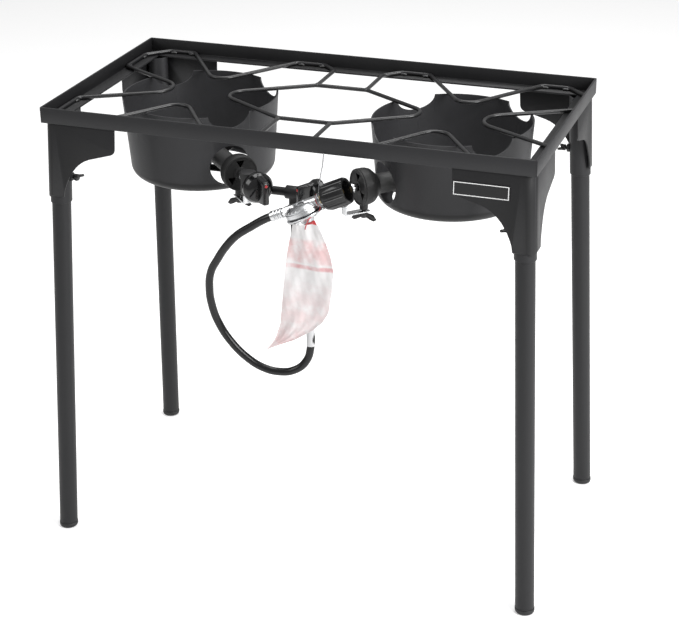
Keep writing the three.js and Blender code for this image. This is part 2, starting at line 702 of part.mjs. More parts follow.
  // bracket strip from the valve down to the wing screw, and the screw in the bell's lug
  const strip = polygon([
    [lugS - 8, lugLow - FIT - STRIP_THICK],
    [SPUD_BACK + 6, lugLow - FIT - STRIP_THICK],
    [SPUD_BACK + 6, VALVE_LOW - FIT],
    [VALVE_S + 8, VALVE_LOW - FIT],
    [VALVE_S + 8, VALVE_LOW - FIT - STRIP_THICK],
    [SPUD_BACK + 8, VALVE_LOW - FIT - STRIP_THICK],
    [SPUD_BACK + 8, lugLow - FIT - 2 * STRIP_THICK],
    [lugS - 8, lugLow - FIT - 2 * STRIP_THICK],
  ]);
  const stripSolid = slab(strip, -STRIP_HALF, STRIP_HALF);
  const toGas = new THREE.Matrix4().makeBasis(heading, vec(0, 0, 1).cross(heading), vec(0, 0, 1));
  toGas.setPosition(centre.x, 0, 0);
  const screwHole = bar(BOLT_R + FIT, gasLine(lugS, lugLow - 8), gasLine(lugS, lugLow + 3), 12);
  node("valve_bracket" + suffix, combine([moved(stripSolid, toGas)], [screwHole]), ZINC);
  const screwTip = gasLine(lugS, GAS_Z - BELL_R + 1);
  const screwHub = gasLine(lugS, lugLow - FIT - 2 * STRIP_THICK - 1);
  node("wing_screw" + suffix, wingScrew(screwTip, screwHub, BOLT_R, WING_SPAN, WING_RISE), KNOB_BLACK);
  return gasLine(VALVE_S, GAS_Z - PIPE_DROP);
}

const leftValve = burnerUnit(-1);
burnerUnit(1);

// ---------------------------------------------------------------- manifold pipe and inlet
const PIPE_Y = leftValve.y;
const PIPE_Z = GAS_Z - PIPE_DROP;
const pipeEnd = -leftValve.x - VALVE_R - FIT;
const INLET_LOW = PIPE_Z - INLET_DROP;
node("manifold_pipe", bar(PIPE_R, vec(-pipeEnd, PIPE_Y, PIPE_Z), vec(pipeEnd, PIPE_Y, PIPE_Z)), POWDER_BLACK);
const tee = combine(
  [
    bar(10.5, vec(-TEE_HALF, PIPE_Y, PIPE_Z), vec(TEE_HALF, PIPE_Y, PIPE_Z), 20),
    bar(8, vec(0, PIPE_Y, INLET_LOW), vec(0, PIPE_Y, PIPE_Z), 16),
    bar(10, vec(0, PIPE_Y, INLET_LOW), vec(0, PIPE_Y, INLET_LOW + 10), 6),
  ],
  [bar(PIPE_R + FIT, vec(-20, PIPE_Y, PIPE_Z), vec(20, PIPE_Y, PIPE_Z), 20)],
);
node("inlet_tee", tee, POWDER_BLACK);

// ---------------------------------------------------------------- regulator and its fittings
// The regulator hangs in front of the knobs; its own line rises to the right.
const regulatorFrame = new THREE.Matrix4().makeRotationY(-REGULATOR_TILT).setPosition(REGULATOR);
const onRegulator = (x, z, y = 0) => vec(x, y, z).applyMatrix4(regulatorFrame);
const regulatorBody = combine([
  turned(
    [
      [0, 0],
      [BODY_R - 2, 0],
      [BODY_R, 3],
      [BODY_R, BODY_HEIGHT - 6],
      [BODY_R - 8, BODY_HEIGHT],
      [0, BODY_HEIGHT],
    ],
    onRegulator(0, BODY_ABOVE - BODY_HEIGHT),
    onRegulator(0, BODY_ABOVE),
    24,
  ),
  bar(BOSS_R, onRegulator(-BODY_R - BODY_BOSS, 0), onRegulator(0, 0), 16),
  bar(NECK_R, onRegulator(0, 0), onRegulator(BODY_R + BODY_NECK, 0), 16),
]);
node("regulator_body", regulatorBody, ZINC);
const bonnetTop = BODY_ABOVE - BODY_HEIGHT - FIT;
const bonnet = turned(
  [
    [0, 0],
    [10, 0],
    [12, 5],
    [BODY_R - 4, 8],
    [BODY_R + 1, 11],
    [BODY_R + 1, BONNET_HEIGHT],
    [0, BONNET_HEIGHT],
  ],
  onRegulator(0, bonnetTop - BONNET_HEIGHT),
  onRegulator(0, bonnetTop),
  24,
);
node("regulator_bonnet", bonnet, ZINC);
const adjuster = turned(
  [[0, 0], [7, 0], [9, 2], [9, 14], [7, ADJUSTER_HEIGHT], [0, ADJUSTER_HEIGHT]],
  onRegulator(0, bonnetTop - BONNET_HEIGHT - FIT - ADJUSTER_HEIGHT),
  onRegulator(0, 0),
  16,
);
node("regulator_adjuster", adjuster, RED);
const nutStart = BODY_R + BODY_NECK + NUT_GAP;
const nippleStart = BODY_R + BODY_NECK + FIT;
const nippleEnd = nutStart + NUT_LENGTH - 8;
const nipple = turned(
  [[0, 0], [6, 0], [6, nutStart - nippleStart + 1.4], [8, nutStart - nippleStart + 1.4], [8, 12], [5, 18],
    [5, nippleEnd - nippleStart - 2], [3, nippleEnd - nippleStart], [0, nippleEnd - nippleStart]],
  onRegulator(nippleStart, 0),
  onRegulator(nippleEnd, 0),
  16,
);
node("inlet_nipple", nipple, BRASS);
// coupling nut: a fluted ring, open at the tank end, that turns on the nipple
const flutes = new THREE.Shape();
for (let k = 0; k < FLUTE_COUNT * 2; k++) {
  const a = (2 * Math.PI * k) / (FLUTE_COUNT * 2);
  const r = k % 2 < 1 ? NUT_R : NUT_R - FLUTE_DEPTH;
  const x = r * Math.cos(a);
  const y = r * Math.sin(a);
  if (k) flutes.lineTo(x, y);
  else flutes.moveTo(x, y);
}
const flutedBar = new THREE.ExtrudeGeometry(flutes, { depth: NUT_LENGTH, bevelEnabled: false });
flutedBar.rotateX(-Math.PI / 2);
const nutShell = moved(flutedBar, along(onRegulator(nutStart, 0), onRegulator(nutStart + 1, 0)));
const nutMouthEnd = onRegulator(nutStart + NUT_LENGTH + 1, 0);
const nutMouth = bar(NUT_R - NUT_WALL, onRegulator(nutStart + 6, 0), nutMouthEnd, 24);
const nutNeck = bar(6.8, onRegulator(nutStart - 1, 0), onRegulator(nutStart + 8, 0), 16);
const nipplePocket = bar(9, onRegulator(nutStart + 0.5, 0), onRegulator(nutStart + 8, 0), 16);
node("coupling_nut", combine([nutShell], [nutMouth, nutNeck, nipplePocket]), KNOB_BLACK);

// ---------------------------------------------------------------- hose
// One free hose: out of the regulator to the left, down in a loop and up into the inlet tee.
const hoseStart = onRegulator(-BODY_R - BODY_BOSS - FIT - FERRULE_LENGTH, 0);
const ferruleOnRegulator = bar(FERRULE_R, onRegulator(-BODY_R - BODY_BOSS - FIT, 0), hoseStart, 20);
node("ferrule_regulator", ferruleOnRegulator, ZINC);
const inletFace = vec(0, PIPE_Y, INLET_LOW - FIT);
const inletEnd = vec(0, PIPE_Y, INLET_LOW - FIT - FERRULE_LENGTH);
node("ferrule_inlet", bar(FERRULE_R, inletEnd, inletFace, 20), ZINC);
const hoseEnd = -BODY_R - BODY_BOSS - 2 * FIT - FERRULE_LENGTH;
// each row: x, share of the way back from the regulator to the pipe, drop below the gas axis
const hoseRoute = [
  [-36, 0.012, 38],
  [-59, 0.023, 55],
  [-78.1, 0.058, 76.1],
  [-95.2, 0.104, 101.2],
  [-109.3, 0.151, 126.3],
  [-115.4, 0.209, 157.4],
  [-114.5, 0.267, 189.5],
  [-106.6, 0.325, 220.6],
  [-89.7, 0.371, 250.7],
  [-65.8, 0.417, 276.8],
  [-40.9, 0.464, 292.9],
  [-15, 0.51, 298.5],
  [9.9, 0.557, 293.6],
  [27.8, 0.603, 277.2],
  [34.7, 0.638, 252.3],
  [33.1, 0.684, 222.4],
  [23.5, 0.765, 179.5],
  [10.3, 0.847, 129.7],
  [2.2, 0.916, 94.8],
].map(([x, back, drop]) => vec(x, THREE.MathUtils.lerp(REGULATOR.y, PIPE_Y, back), GAS_Z - drop));
const hosePoints = [
  onRegulator(hoseEnd, 0),
  onRegulator(hoseEnd - 8, 0),
  ...hoseRoute,
  vec(0, PIPE_Y, INLET_LOW - 2 * FIT - FERRULE_LENGTH - 10),
  vec(0, PIPE_Y, INLET_LOW - 2 * FIT - FERRULE_LENGTH),
];
node("hose", tube(hosePoints, HOSE_R, 36), RUBBER);

// ---------------------------------------------------------------- wire tie and tag
const neck = onRegulator(BODY_R + 1.5, 0);
const tieTop = vec(neck.x, -DEPTH / 2 - 2, RAIL_Z + 2);
const tieLow = neck.clone().add(vec(0, 0, NECK_R + FIT + 1.6));
node("wire_tie", bar(TIE_R, tieLow, tieTop, 8), ZINC);
// its outline is drawn from the middle of the regulator
const tagOutline = new THREE.Shape();
tagOutline.moveTo(-3, -22);
tagOutline.lineTo(37, -13);
tagOutline.quadraticCurveTo(43, -32, 49, -41);
tagOutline.quadraticCurveTo(56, -62, 61, -86);
tagOutline.quadraticCurveTo(59, -122, 52, -151);
tagOutline.quadraticCurveTo(41, -174, 24, -185);
tagOutline.quadraticCurveTo(-5, -210, -50, -226);
tagOutline.quadraticCurveTo(-27, -204, -24, -166);
tagOutline.quadraticCurveTo(-17, -96, -3, -22);
const TAG_FRONT = REGULATOR.y - BODY_R - 5; // in front of the regulator
const tag = slab(tagOutline, TAG_FRONT, TAG_FRONT + TAG_THICK, 6);
tag.translate(REGULATOR.x, 0, REGULATOR.z);
node("tag_bag", tag, FILM);

export default group;
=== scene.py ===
# %% [markdown]
# # A propane burner stand
# The real stand is an angle-iron frame on four clamped legs. It carries two sheet-metal windshields, two
# cast burners, a gas line with two knobs, and a regulator on a rubber hose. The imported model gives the
# places and sizes of every piece, so this file only makes each piece look like what it is made of.

# %% Load the frame
import math

import bpy
from mathutils import Matrix, Vector


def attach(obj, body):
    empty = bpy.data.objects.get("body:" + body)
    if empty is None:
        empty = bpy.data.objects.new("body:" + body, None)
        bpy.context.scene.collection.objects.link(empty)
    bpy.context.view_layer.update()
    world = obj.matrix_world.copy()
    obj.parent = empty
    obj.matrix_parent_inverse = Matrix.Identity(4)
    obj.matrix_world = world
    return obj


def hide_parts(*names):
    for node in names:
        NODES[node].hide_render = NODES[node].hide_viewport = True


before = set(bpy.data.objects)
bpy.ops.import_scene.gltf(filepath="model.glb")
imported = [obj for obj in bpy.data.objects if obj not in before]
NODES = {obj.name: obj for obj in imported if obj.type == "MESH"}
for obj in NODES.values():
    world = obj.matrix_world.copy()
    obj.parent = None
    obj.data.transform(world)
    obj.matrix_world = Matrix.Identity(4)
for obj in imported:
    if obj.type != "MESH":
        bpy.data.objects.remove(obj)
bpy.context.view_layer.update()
bpy.ops.object.select_all(action="DESELECT")
print("loaded", len(NODES), "nodes")

# %% [markdown]
# ## Sizes
# The same sizes as in the part's source, in metres. A piece that replaces a packed one has to lie where
# that one lies, so most places below are worked out from these values. GAP is the small clearance that
# keeps two neighbours apart.

# %% Sizes of the stand
WIDTH, DEPTH, HEIGHT = 0.780, 0.399, 0.745
GAP = 0.0003
RAIL_WALL = 0.003
RAIL_Z = HEIGHT - 0.025
ROD_R = 0.0032
ROD_Z = RAIL_Z + RAIL_WALL + GAP + ROD_R
POT_X = 0.210
POT_HEIGHT = 0.128
POT_TOP_Z = ROD_Z - ROD_R - GAP
POT_FOOT_Z = POT_TOP_Z - POT_HEIGHT
GAS_Z = RAIL_Z - 0.080
SPLAY = 0.0437
SOCKET_BORE = 0.0154
SOCKET_R = 0.0169
BRACKET_WALL, BRACKET_INSET = 0.002, 0.0024
LEG_INSET = BRACKET_INSET + BRACKET_WALL + SOCKET_R + GAP
LEG_R = 0.015
BELL_END = 0.160
KNOB_S = 0.223
VALVE_S = 0.192
SIDES = {"left": -1, "right": 1}
CORNERS = {"fl": (-1, -1), "fr": (1, -1), "bl": (-1, 1), "br": (1, 1)}
print("frame", WIDTH, DEPTH, HEIGHT)

# %% [markdown]
# ## The camera
# A product picture is taken from a little above, with a long lens so that the legs stay nearly parallel.
# The camera comes first, because the hose is judged by what the camera sees of it.

# %% Camera
CAMERA_PLACE = Vector((0.8917, -2.4025, 1.5735))
CAMERA_YAW = math.radians(19.9)
CAMERA_DOWN = math.radians(25.23)
CAMERA_ROLL = math.radians(-0.77)
CAMERA_LENS, CAMERA_SENSOR = 90.82, 36
ahead = Vector((-math.sin(CAMERA_YAW) * math.cos(CAMERA_DOWN),
                math.cos(CAMERA_YAW) * math.cos(CAMERA_DOWN), -math.sin(CAMERA_DOWN)))
right = Vector((math.cos(CAMERA_YAW), math.sin(CAMERA_YAW), 0))
up = right.cross(ahead)
rolled_right = math.cos(CAMERA_ROLL) * right + math.sin(CAMERA_ROLL) * up
rolled_up = math.cos(CAMERA_ROLL) * up - math.sin(CAMERA_ROLL) * right
bpy.ops.object.camera_add(location=CAMERA_PLACE)
camera = bpy.context.object
camera.name = "camera"
camera.matrix_world = Matrix((
    (rolled_right.x, rolled_up.x, -ahead.x, CAMERA_PLACE.x),
    (rolled_right.y, rolled_up.y, -ahead.y, CAMERA_PLACE.y),
    (rolled_right.z, rolled_up.z, -ahead.z, CAMERA_PLACE.z),
    (0, 0, 0, 1)))
camera.data.lens = CAMERA_LENS
camera.data.sensor_width = CAMERA_SENSOR
bpy.context.scene.camera = camera
print("camera at", tuple(camera.location))

# %% [markdown]
# ## Shared surface effects
# Powder coat, cast iron and rubber differ in scale, not in kind: each has fine bumps and some larger
# unevenness, and its convex edges are painted lighter as a painted highlight. One group gives the grain
# and one gives the edge mask for that painted highlight, and every finish sets its own grain.

# %% Node group: grain
def socket_in(group, name, value):
    socket = group.interface.new_socket(name=name, in_out="INPUT", socket_type="NodeSocketFloat")
    socket.default_value = value


def make_grain_group():
    group = bpy.data.node_groups.new("surface_grain", "ShaderNodeTree")
    socket_in(group, "Fine scale", 900)
    socket_in(group, "Coarse scale", 30)
    group.interface.new_socket(name="Height", in_out="OUTPUT", socket_type="NodeSocketFloat")
    group.interface.new_socket(name="Patches", in_out="OUTPUT", socket_type="NodeSocketFloat")
    nodes, links = group.nodes, group.links
    given = nodes.new("NodeGroupInput")
    result = nodes.new("NodeGroupOutput")
    place = nodes.new("ShaderNodeTexCoord")
    fine = nodes.new("ShaderNodeTexNoise")
    fine.inputs["Detail"].default_value = 3
    coarse = nodes.new("ShaderNodeTexNoise")
    coarse.inputs["Detail"].default_value = 5
    links.new(place.outputs["Object"], fine.inputs["Vector"])
    links.new(place.outputs["Object"], coarse.inputs["Vector"])
    links.new(given.outputs["Fine scale"], fine.inputs["Scale"])
    links.new(given.outputs["Coarse scale"], coarse.inputs["Scale"])
    links.new(fine.outputs["Fac"], result.inputs["Height"])
    links.new(coarse.outputs["Fac"], result.inputs["Patches"])
    return group


grain_group = make_grain_group()
print("made group", grain_group.name)


# %% Node group: edge mask for the painted highlight
EDGE_START, EDGE_END = 0.52, 0.62


def make_edge_group():
    group = bpy.data.node_groups.new("painted_edge_highlight", "ShaderNodeTree")
    socket_in(group, "Start", EDGE_START)
    socket_in(group, "End", EDGE_END)
    group.interface.new_socket(name="Edge", in_out="OUTPUT", socket_type="NodeSocketFloat")
    nodes, links = group.nodes, group.links
    given = nodes.new("NodeGroupInput")
    result = nodes.new("NodeGroupOutput")
    # Pointiness picks out convex edges; the finishes paint a lighter highlight there.
    shape = nodes.new("ShaderNodeNewGeometry")
    ramp = nodes.new("ShaderNodeMapRange")
    links.new(shape.outputs["Pointiness"], ramp.inputs["Value"])
    links.new(given.outputs["Start"], ramp.inputs["From Min"])
    links.new(given.outputs["End"], ramp.inputs["From Max"])
    links.new(ramp.outputs["Result"], result.inputs["Edge"])
    return group


edge_group = make_edge_group()
print("made group", edge_group.name)


# %% [markdown]
# ## A finish from the two groups
# Each finish is a Principled shader. Its colour runs between a dark and a light tone by the patches and
# goes to a lighter edge tone on the edges, a painted highlight; its roughness follows the patches, and the fine
# grain makes the bump.

# %% Helper: one finish
BUMP_DEPTH = 0.0004


def finish(name, dark, light, edge, rough, metal=0.0, fine=900, coarse=30, bump=0.1, shine=0.5):
    material = bpy.data.materials.new(name)
    material.use_nodes = True
    nodes, links = material.node_tree.nodes, material.node_tree.links
    shader = nodes["Principled BSDF"]
    grain = nodes.new("ShaderNodeGroup")
    grain.node_tree = grain_group
    grain.inputs["Fine scale"].default_value = fine
    grain.inputs["Coarse scale"].default_value = coarse
    edge_highlight_mask = nodes.new("ShaderNodeGroup")
    edge_highlight_mask.node_tree = edge_group
    edge_highlight_mask.inputs["Start"].default_value = EDGE_START
    edge_highlight_mask.inputs["End"].default_value = EDGE_END
    tones = nodes.new("ShaderNodeMix")
    tones.data_type = "RGBA"
    tones.inputs["A"].default_value = (*dark, 1)
    tones.inputs["B"].default_value = (*light, 1)
    links.new(grain.outputs["Patches"], tones.inputs["Factor"])
    # Painted highlight: the colour goes to the lighter edge tone on convex edges.
    edge_highlighted = nodes.new("ShaderNodeMix")
    edge_highlighted.data_type = "RGBA"
    edge_highlighted.inputs["B"].default_value = (*edge, 1)
    links.new(edge_highlight_mask.outputs["Edge"], edge_highlighted.inputs["Factor"])
    links.new(tones.outputs["Result"], edge_highlighted.inputs["A"])
    links.new(edge_highlighted.outputs["Result"], shader.inputs["Base Color"])
    spread = nodes.new("ShaderNodeMapRange")
    spread.inputs["To Min"].default_value = rough[0]
    spread.inputs["To Max"].default_value = rough[1]
    links.new(grain.outputs["Patches"], spread.inputs["Value"])
    links.new(spread.outputs["Result"], shader.inputs["Roughness"])
    relief = nodes.new("ShaderNodeBump")
    relief.inputs["Strength"].default_value = bump
    relief.inputs["Distance"].default_value = BUMP_DEPTH
    links.new(grain.outputs["Height"], relief.inputs["Height"])
    links.new(relief.outputs["Normal"], shader.inputs["Normal"])
    shader.inputs["Metallic"].default_value = metal
    shader.inputs["Specular IOR Level"].default_value = shine
    return material


# %% The finishes
# The third colour of each finish is its edge tone, a painted highlight on convex edges.
POWDER = finish("powder_coat", (0.0045, 0.0045, 0.005), (0.0075, 0.0075, 0.008), (0.03, 0.03, 0.032),
                (0.36, 0.48), fine=1600, coarse=22, bump=0.16, shine=0.3)
ROD_COAT = finish("rod_coat", (0.008, 0.008, 0.009), (0.014, 0.014, 0.015), (0.03, 0.03, 0.03), (0.26, 0.38),
                  fine=1400, coarse=60, bump=0.12)
CAST = finish("cast_iron_dark", (0.004, 0.004, 0.004), (0.010, 0.010, 0.010), (0.04, 0.04, 0.04), (0.4, 0.6),
              fine=700, coarse=80, bump=0.55, shine=0.3)
GLOSS = finish("gloss_plastic_black", (0.003, 0.003, 0.0035), (0.005, 0.005, 0.0055), (0.02, 0.02, 0.02),
               (0.12, 0.2), fine=500, coarse=12, bump=0.03)
MATTE = finish("foot_plastic_black", (0.007, 0.007, 0.008), (0.012, 0.012, 0.013), (0.03, 0.03, 0.03),
               (0.45, 0.6), fine=1200, coarse=40, bump=0.15)
ZINC = finish("die_cast_zinc", (0.46, 0.47, 0.49), (0.66, 0.67, 0.68), (0.8, 0.8, 0.8), (0.2, 0.36), metal=1,
              fine=900, coarse=90, bump=0.16)
PLATED = finish("plated_steel", (0.55, 0.56, 0.58), (0.72, 0.73, 0.74), (0.85, 0.85, 0.85), (0.15, 0.3), metal=1,
                fine=1500, coarse=60, bump=0.08)
WIRE = finish("steel_wire", (0.20, 0.20, 0.21), (0.32, 0.32, 0.33), (0.4, 0.4, 0.4), (0.3, 0.45), metal=1,
              fine=1500, coarse=200, bump=0.1)
BRASS = finish("turned_brass", (0.55, 0.42, 0.20), (0.68, 0.53, 0.28), (0.8, 0.7, 0.45), (0.2, 0.32), metal=1,
               fine=1500, coarse=60, bump=0.08)
RUBBER = finish("hose_rubber_black", (0.003, 0.003, 0.0035), (0.006, 0.006, 0.0065), (0.02, 0.02, 0.02),
                (0.2, 0.3), fine=1300, coarse=50, bump=0.1, shine=0.4)
RED = finish("red_plastic", (0.33, 0.012, 0.016), (0.45, 0.02, 0.024), (0.55, 0.1, 0.1), (0.25, 0.38),
             fine=600, coarse=20, bump=0.04)
PAPER = finish("paper_sleeve", (0.50, 0.50, 0.51), (0.62, 0.62, 0.63), (0.66, 0.66, 0.66), (0.3, 0.45),
               fine=500, coarse=90, bump=0.3)
WHITE = finish("white_print", (0.74, 0.74, 0.74), (0.82, 0.82, 0.82), (0.86, 0.86, 0.86), (0.4, 0.5),
               fine=900, coarse=40, bump=0.05)
print("made", len(bpy.data.materials), "materials")


# %% [markdown]
# ## Helpers for turned and carried-over pieces
# Most fittings are turned: a circle is extruded along its axis and resized ring by ring, as by hand. A
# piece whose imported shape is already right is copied, merged, and gets a small bevel, since real edges
# are never perfectly sharp and the bevel is what catches the light.

# %% Helper: turned piece
def turned(name, profile, sides=64, hollow=False):
    bpy.ops.object.select_all(action="DESELECT")
    radius, z = profile[0]
    fill = "NOTHING" if hollow else "NGON"
    bpy.ops.mesh.primitive_circle_add(vertices=sides, radius=radius, location=(0, 0, z), fill_type=fill)
    piece = bpy.context.object
    piece.name = name
    bpy.ops.object.transform_apply()
    bpy.ops.object.mode_set(mode="EDIT")
    bpy.ops.mesh.select_all(action="SELECT")
    rings = profile + [profile[0]] if hollow else profile
    for (r0, z0), (r1, z1) in zip(rings, rings[1:]):
        bpy.ops.mesh.extrude_region_move(TRANSFORM_OT_translate={"value": (0, 0, z1 - z0)})
        bpy.ops.transform.resize(value=(r1 / r0, r1 / r0, 1), center_override=(0, 0, z1))
    bpy.ops.mesh.select_all(action="SELECT")
    bpy.ops.mesh.remove_doubles(threshold=1e-6)
    bpy.ops.mesh.normals_make_consistent(inside=False)
    bpy.ops.object.mode_set(mode="OBJECT")
    return piece


def only(piece):
    bpy.ops.object.select_all(action="DESELECT")
    piece.select_set(True)
    bpy.context.view_layer.objects.active = piece


def put(piece, matrix):
    piece.data.transform(matrix)
    if matrix.determinant() < 0:
        piece.data.flip_normals()
    return piece


def joined(name, *pieces):
    bpy.ops.object.select_all(action="DESELECT")
    for piece in pieces:
        piece.select_set(True)
    bpy.context.view_layer.objects.active = pieces[0]
    bpy.ops.object.join()
    pieces[0].name = name
    return pieces[0]


def cut_by(piece, *tools):
    for tool in tools:
        only(piece)
        cut = piece.modifiers.new("cut", "BOOLEAN")
        cut.operation = "DIFFERENCE"
        cut.solver = "EXACT"
        cut.object = tool
        bpy.ops.object.modifier_apply(modifier="cut")
        bpy.data.objects.remove(tool)
    return piece


def rounded(piece, width, segments=2, angle=35):
    only(piece)
    bevel = piece.modifiers.new("edges", "BEVEL")
    bevel.width = width
    bevel.segments = segments
    bevel.limit_method = "ANGLE"
    bevel.angle_limit = math.radians(angle)
    bpy.ops.object.modifier_apply(modifier="edges")
    return piece


# %% Helpers: boxes, bars, copies and finishing
def box_piece(name, low, high):
    bpy.ops.object.select_all(action="DESELECT")
    middle = [(a + b) / 2 for a, b in zip(low, high)]
    size = [b - a for a, b in zip(low, high)]
    bpy.ops.mesh.primitive_cube_add(size=1, location=middle, scale=size)
    piece = bpy.context.object
    piece.name = name
    bpy.ops.object.transform_apply()
    return piece


def from_cad(node, bevel=0.0004, angle=35):
    piece = bpy.data.objects.new("look_" + node, NODES[node].data.copy())
    bpy.context.scene.collection.objects.link(piece)
    piece.data.materials.clear()
    only(piece)
    bpy.ops.object.mode_set(mode="EDIT")
    bpy.ops.mesh.select_all(action="SELECT")
    bpy.ops.mesh.remove_doubles(threshold=2e-6)
    bpy.ops.mesh.dissolve_limited(angle_limit=math.radians(1))
    bpy.ops.object.mode_set(mode="OBJECT")
    return rounded(piece, bevel, 2, angle)


def done(piece, material, body, nodes=(), smooth=40):
    only(piece)
    bpy.ops.object.shade_smooth_by_angle(angle=math.radians(smooth))
    if material:
        piece.data.materials.clear()
        piece.data.materials.append(material)
    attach(piece, body)
    if nodes:
        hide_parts(*nodes)
    print(piece.name, len(piece.data.polygons), "faces")
    return piece


def axis_frame(origin, direction, across=Vector((0, 0, 1))):
    z = direction.normalized()
    y = z.cross(across).normalized()
    x = y.cross(z)
    return Matrix(((x.x, y.x, z.x, origin.x), (x.y, y.y, z.y, origin.y),
                   (x.z, y.z, z.z, origin.z), (0, 0, 0, 1)))


# %% [markdown]
# ## The hose
# A propane hose is stiff rubber. It leaves the inlet tee downwards, swings round in one loop and comes up
# to the regulator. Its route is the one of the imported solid, as a Bezier curve with automatic handles,
# which bends smoothly through every point. FERRULE_REACH is a ferrule and the gap at each end of it.

# %% Places along the gas line
REGULATOR = Vector((0.047, -0.227, 0.646))
TILT = math.radians(25)
LINE = Vector((math.cos(TILT), 0, math.sin(TILT)))
LINE_UP = Vector((-math.sin(TILT), 0, math.cos(TILT)))
BODY_R, BOSS, NECK = 0.028, 0.004, 0.007
HOSE_R = 0.0063
FERRULE_REACH = 0.0206
HOSE_STUB = 0.010
PIPE_Y = -VALVE_S * math.sqrt(0.5)
PIPE_Z = GAS_Z - 0.012
INLET_LOW = PIPE_Z - 0.030
HOSE_TOP = INLET_LOW - FERRULE_REACH
HOSE_END = -BODY_R - BOSS - FERRULE_REACH


def on_line(x, z=0.0):
    return REGULATOR + LINE * x + LINE_UP * z


# %% Hose
HOSE_ROUTE = [
    on_line(HOSE_END), on_line(HOSE_END - 0.008),
    (-0.0360, -0.2259, 0.6020), (-0.0590, -0.2249, 0.5850), (-0.0781, -0.2217, 0.5639),
    (-0.0952, -0.2175, 0.5388), (-0.1093, -0.2132, 0.5137), (-0.1154, -0.2079, 0.4826),
    (-0.1145, -0.2026, 0.4505), (-0.1066, -0.1973, 0.4194), (-0.0897, -0.1932, 0.3893),
    (-0.0658, -0.1890, 0.3632), (-0.0409, -0.1847, 0.3471), (-0.0150, -0.1805, 0.3415),
    (0.0099, -0.1762, 0.3464), (0.0278, -0.1720, 0.3628), (0.0347, -0.1688, 0.3877),
    (0.0331, -0.1646, 0.4176), (0.0235, -0.1572, 0.4605), (0.0103, -0.1497, 0.5103),
    (0.0022, -0.1434, 0.5452), (0, PIPE_Y, HOSE_TOP - HOSE_STUB), (0, PIPE_Y, HOSE_TOP),
]


def curve_piece(name, route, radius, kind="BEZIER"):
    data = bpy.data.curves.new(name, "CURVE")
    data.dimensions = "3D"
    data.bevel_depth = radius
    data.bevel_resolution = 6
    data.resolution_u = 12
    data.use_fill_caps = True
    spline = data.splines.new(kind)
    points = spline.bezier_points if kind == "BEZIER" else spline.points
    points.add(len(route) - 1)
    for point, place in zip(points, route):
        point.co = Vector(place) if kind == "BEZIER" else (*place, 1)
        if kind == "BEZIER":
            point.handle_left_type = point.handle_right_type = "AUTO"
    piece = bpy.data.objects.new(name, data)
    bpy.context.scene.collection.objects.link(piece)
    return piece


def meshed(piece):
    only(piece)
    bpy.ops.object.convert(target="MESH")
    return bpy.context.object


hose = curve_piece("gas_hose", HOSE_ROUTE[::-1], HOSE_R)
hose.data.materials.append(RUBBER)
bpy.context.view_layer.update()
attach(hose, "stand")
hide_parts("hose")

# %% [markdown]
# ## The hose's fittings
# Each end of the hose is crimped: a steel ferrule is squeezed on with a few round grooves. A pale paper
# sleeve is wrapped once round the hose. The ferrules are turned, and the sleeve is swept along the hose's
# own line.

# %% Ferrules
CRIMPS = [(0.0074, 0), (0.0079, 0.0006), (0.0079, 0.003), (0.0070, 0.0042), (0.0070, 0.006),
          (0.0079, 0.0072), (0.0079, 0.0092), (0.0070, 0.0104), (0.0070, 0.0122), (0.0079, 0.0134),
          (0.0079, 0.0194), (0.0072, 0.02)]
ferrule_regulator = turned("ferrule_regulator_look", CRIMPS, 48)
put(ferrule_regulator, axis_frame(on_line(-BODY_R - BOSS - GAP), -LINE))
done(ferrule_regulator, PLATED, "stand", ["ferrule_regulator"], 30)
ferrule_inlet = turned("ferrule_inlet_look", CRIMPS, 48)
put(ferrule_inlet, axis_frame(Vector((0, PIPE_Y, INLET_LOW - GAP)), Vector((0, 0, -1)), Vector((1, 0, 0))))
done(ferrule_inlet, PLATED, "stand", ["ferrule_inlet"], 30)

# %% Paper sleeve on the hose
SLEEVE_ROUTE = [(0.0347, -0.1686, 0.3890), (0.0345, -0.1674, 0.398), (0.0340, -0.1662, 0.407),
                (0.0332, -0.1649, 0.4155)]
SLEEVE_WALL = 0.0005
sleeve = curve_piece("hose_sleeve", SLEEVE_ROUTE, HOSE_R + SLEEVE_WALL)
sleeve = meshed(sleeve)
done(sleeve, PAPER, "stand")

# %% [markdown]
# ## The regulator
# The body and its bonnet are die-cast zinc: turned shapes with thin ribs, a boss towards the hose and a
# neck towards the tank. The ribs are one rib copied round the axis.

# %% Regulator body and ribs
body_frame = axis_frame(REGULATOR, LINE_UP, LINE)
body = turned("regulator_body_look", [
    (0.006, -0.0118), (0.0245, -0.0118), (0.0265, -0.0105), (0.028, -0.009), (0.028, -0.0035),
    (0.0268, -0.0025), (0.0268, -0.0012), (0.0255, 0.0), (0.0205, 0.0038), (0.0185, 0.0046),
    (0.0138, 0.0048), (0.0132, 0.0036), (0.0064, 0.0034), (0.0058, 0.0048), (0.0012, 0.0049)], 96)
RIBS = 24
ribs = []
for step in range(RIBS):
    rib = box_piece("rib", (0.0165, -0.0006, -0.001), (0.0264, 0.0006, 0.0042))
    for vertex in rib.data.vertices:
        if vertex.co.x > 0.02 and vertex.co.z > 0:
            vertex.co.z = 0.0004
    ribs.append(put(rib, Matrix.Rotation(2 * math.pi * step / RIBS, 4, "Z")))
put(joined("body_cast", body, *ribs), body_frame)
boss = turned("boss", [(0.0062, -0.0316), (0.0070, -0.031), (0.0070, -0.029), (0.0078, -0.0285),
                       (0.0078, -0.012)], 6)
boss_round = turned("boss_round", [(0.006, -0.0319), (0.0068, -0.0312), (0.0068, -0.010)], 48)
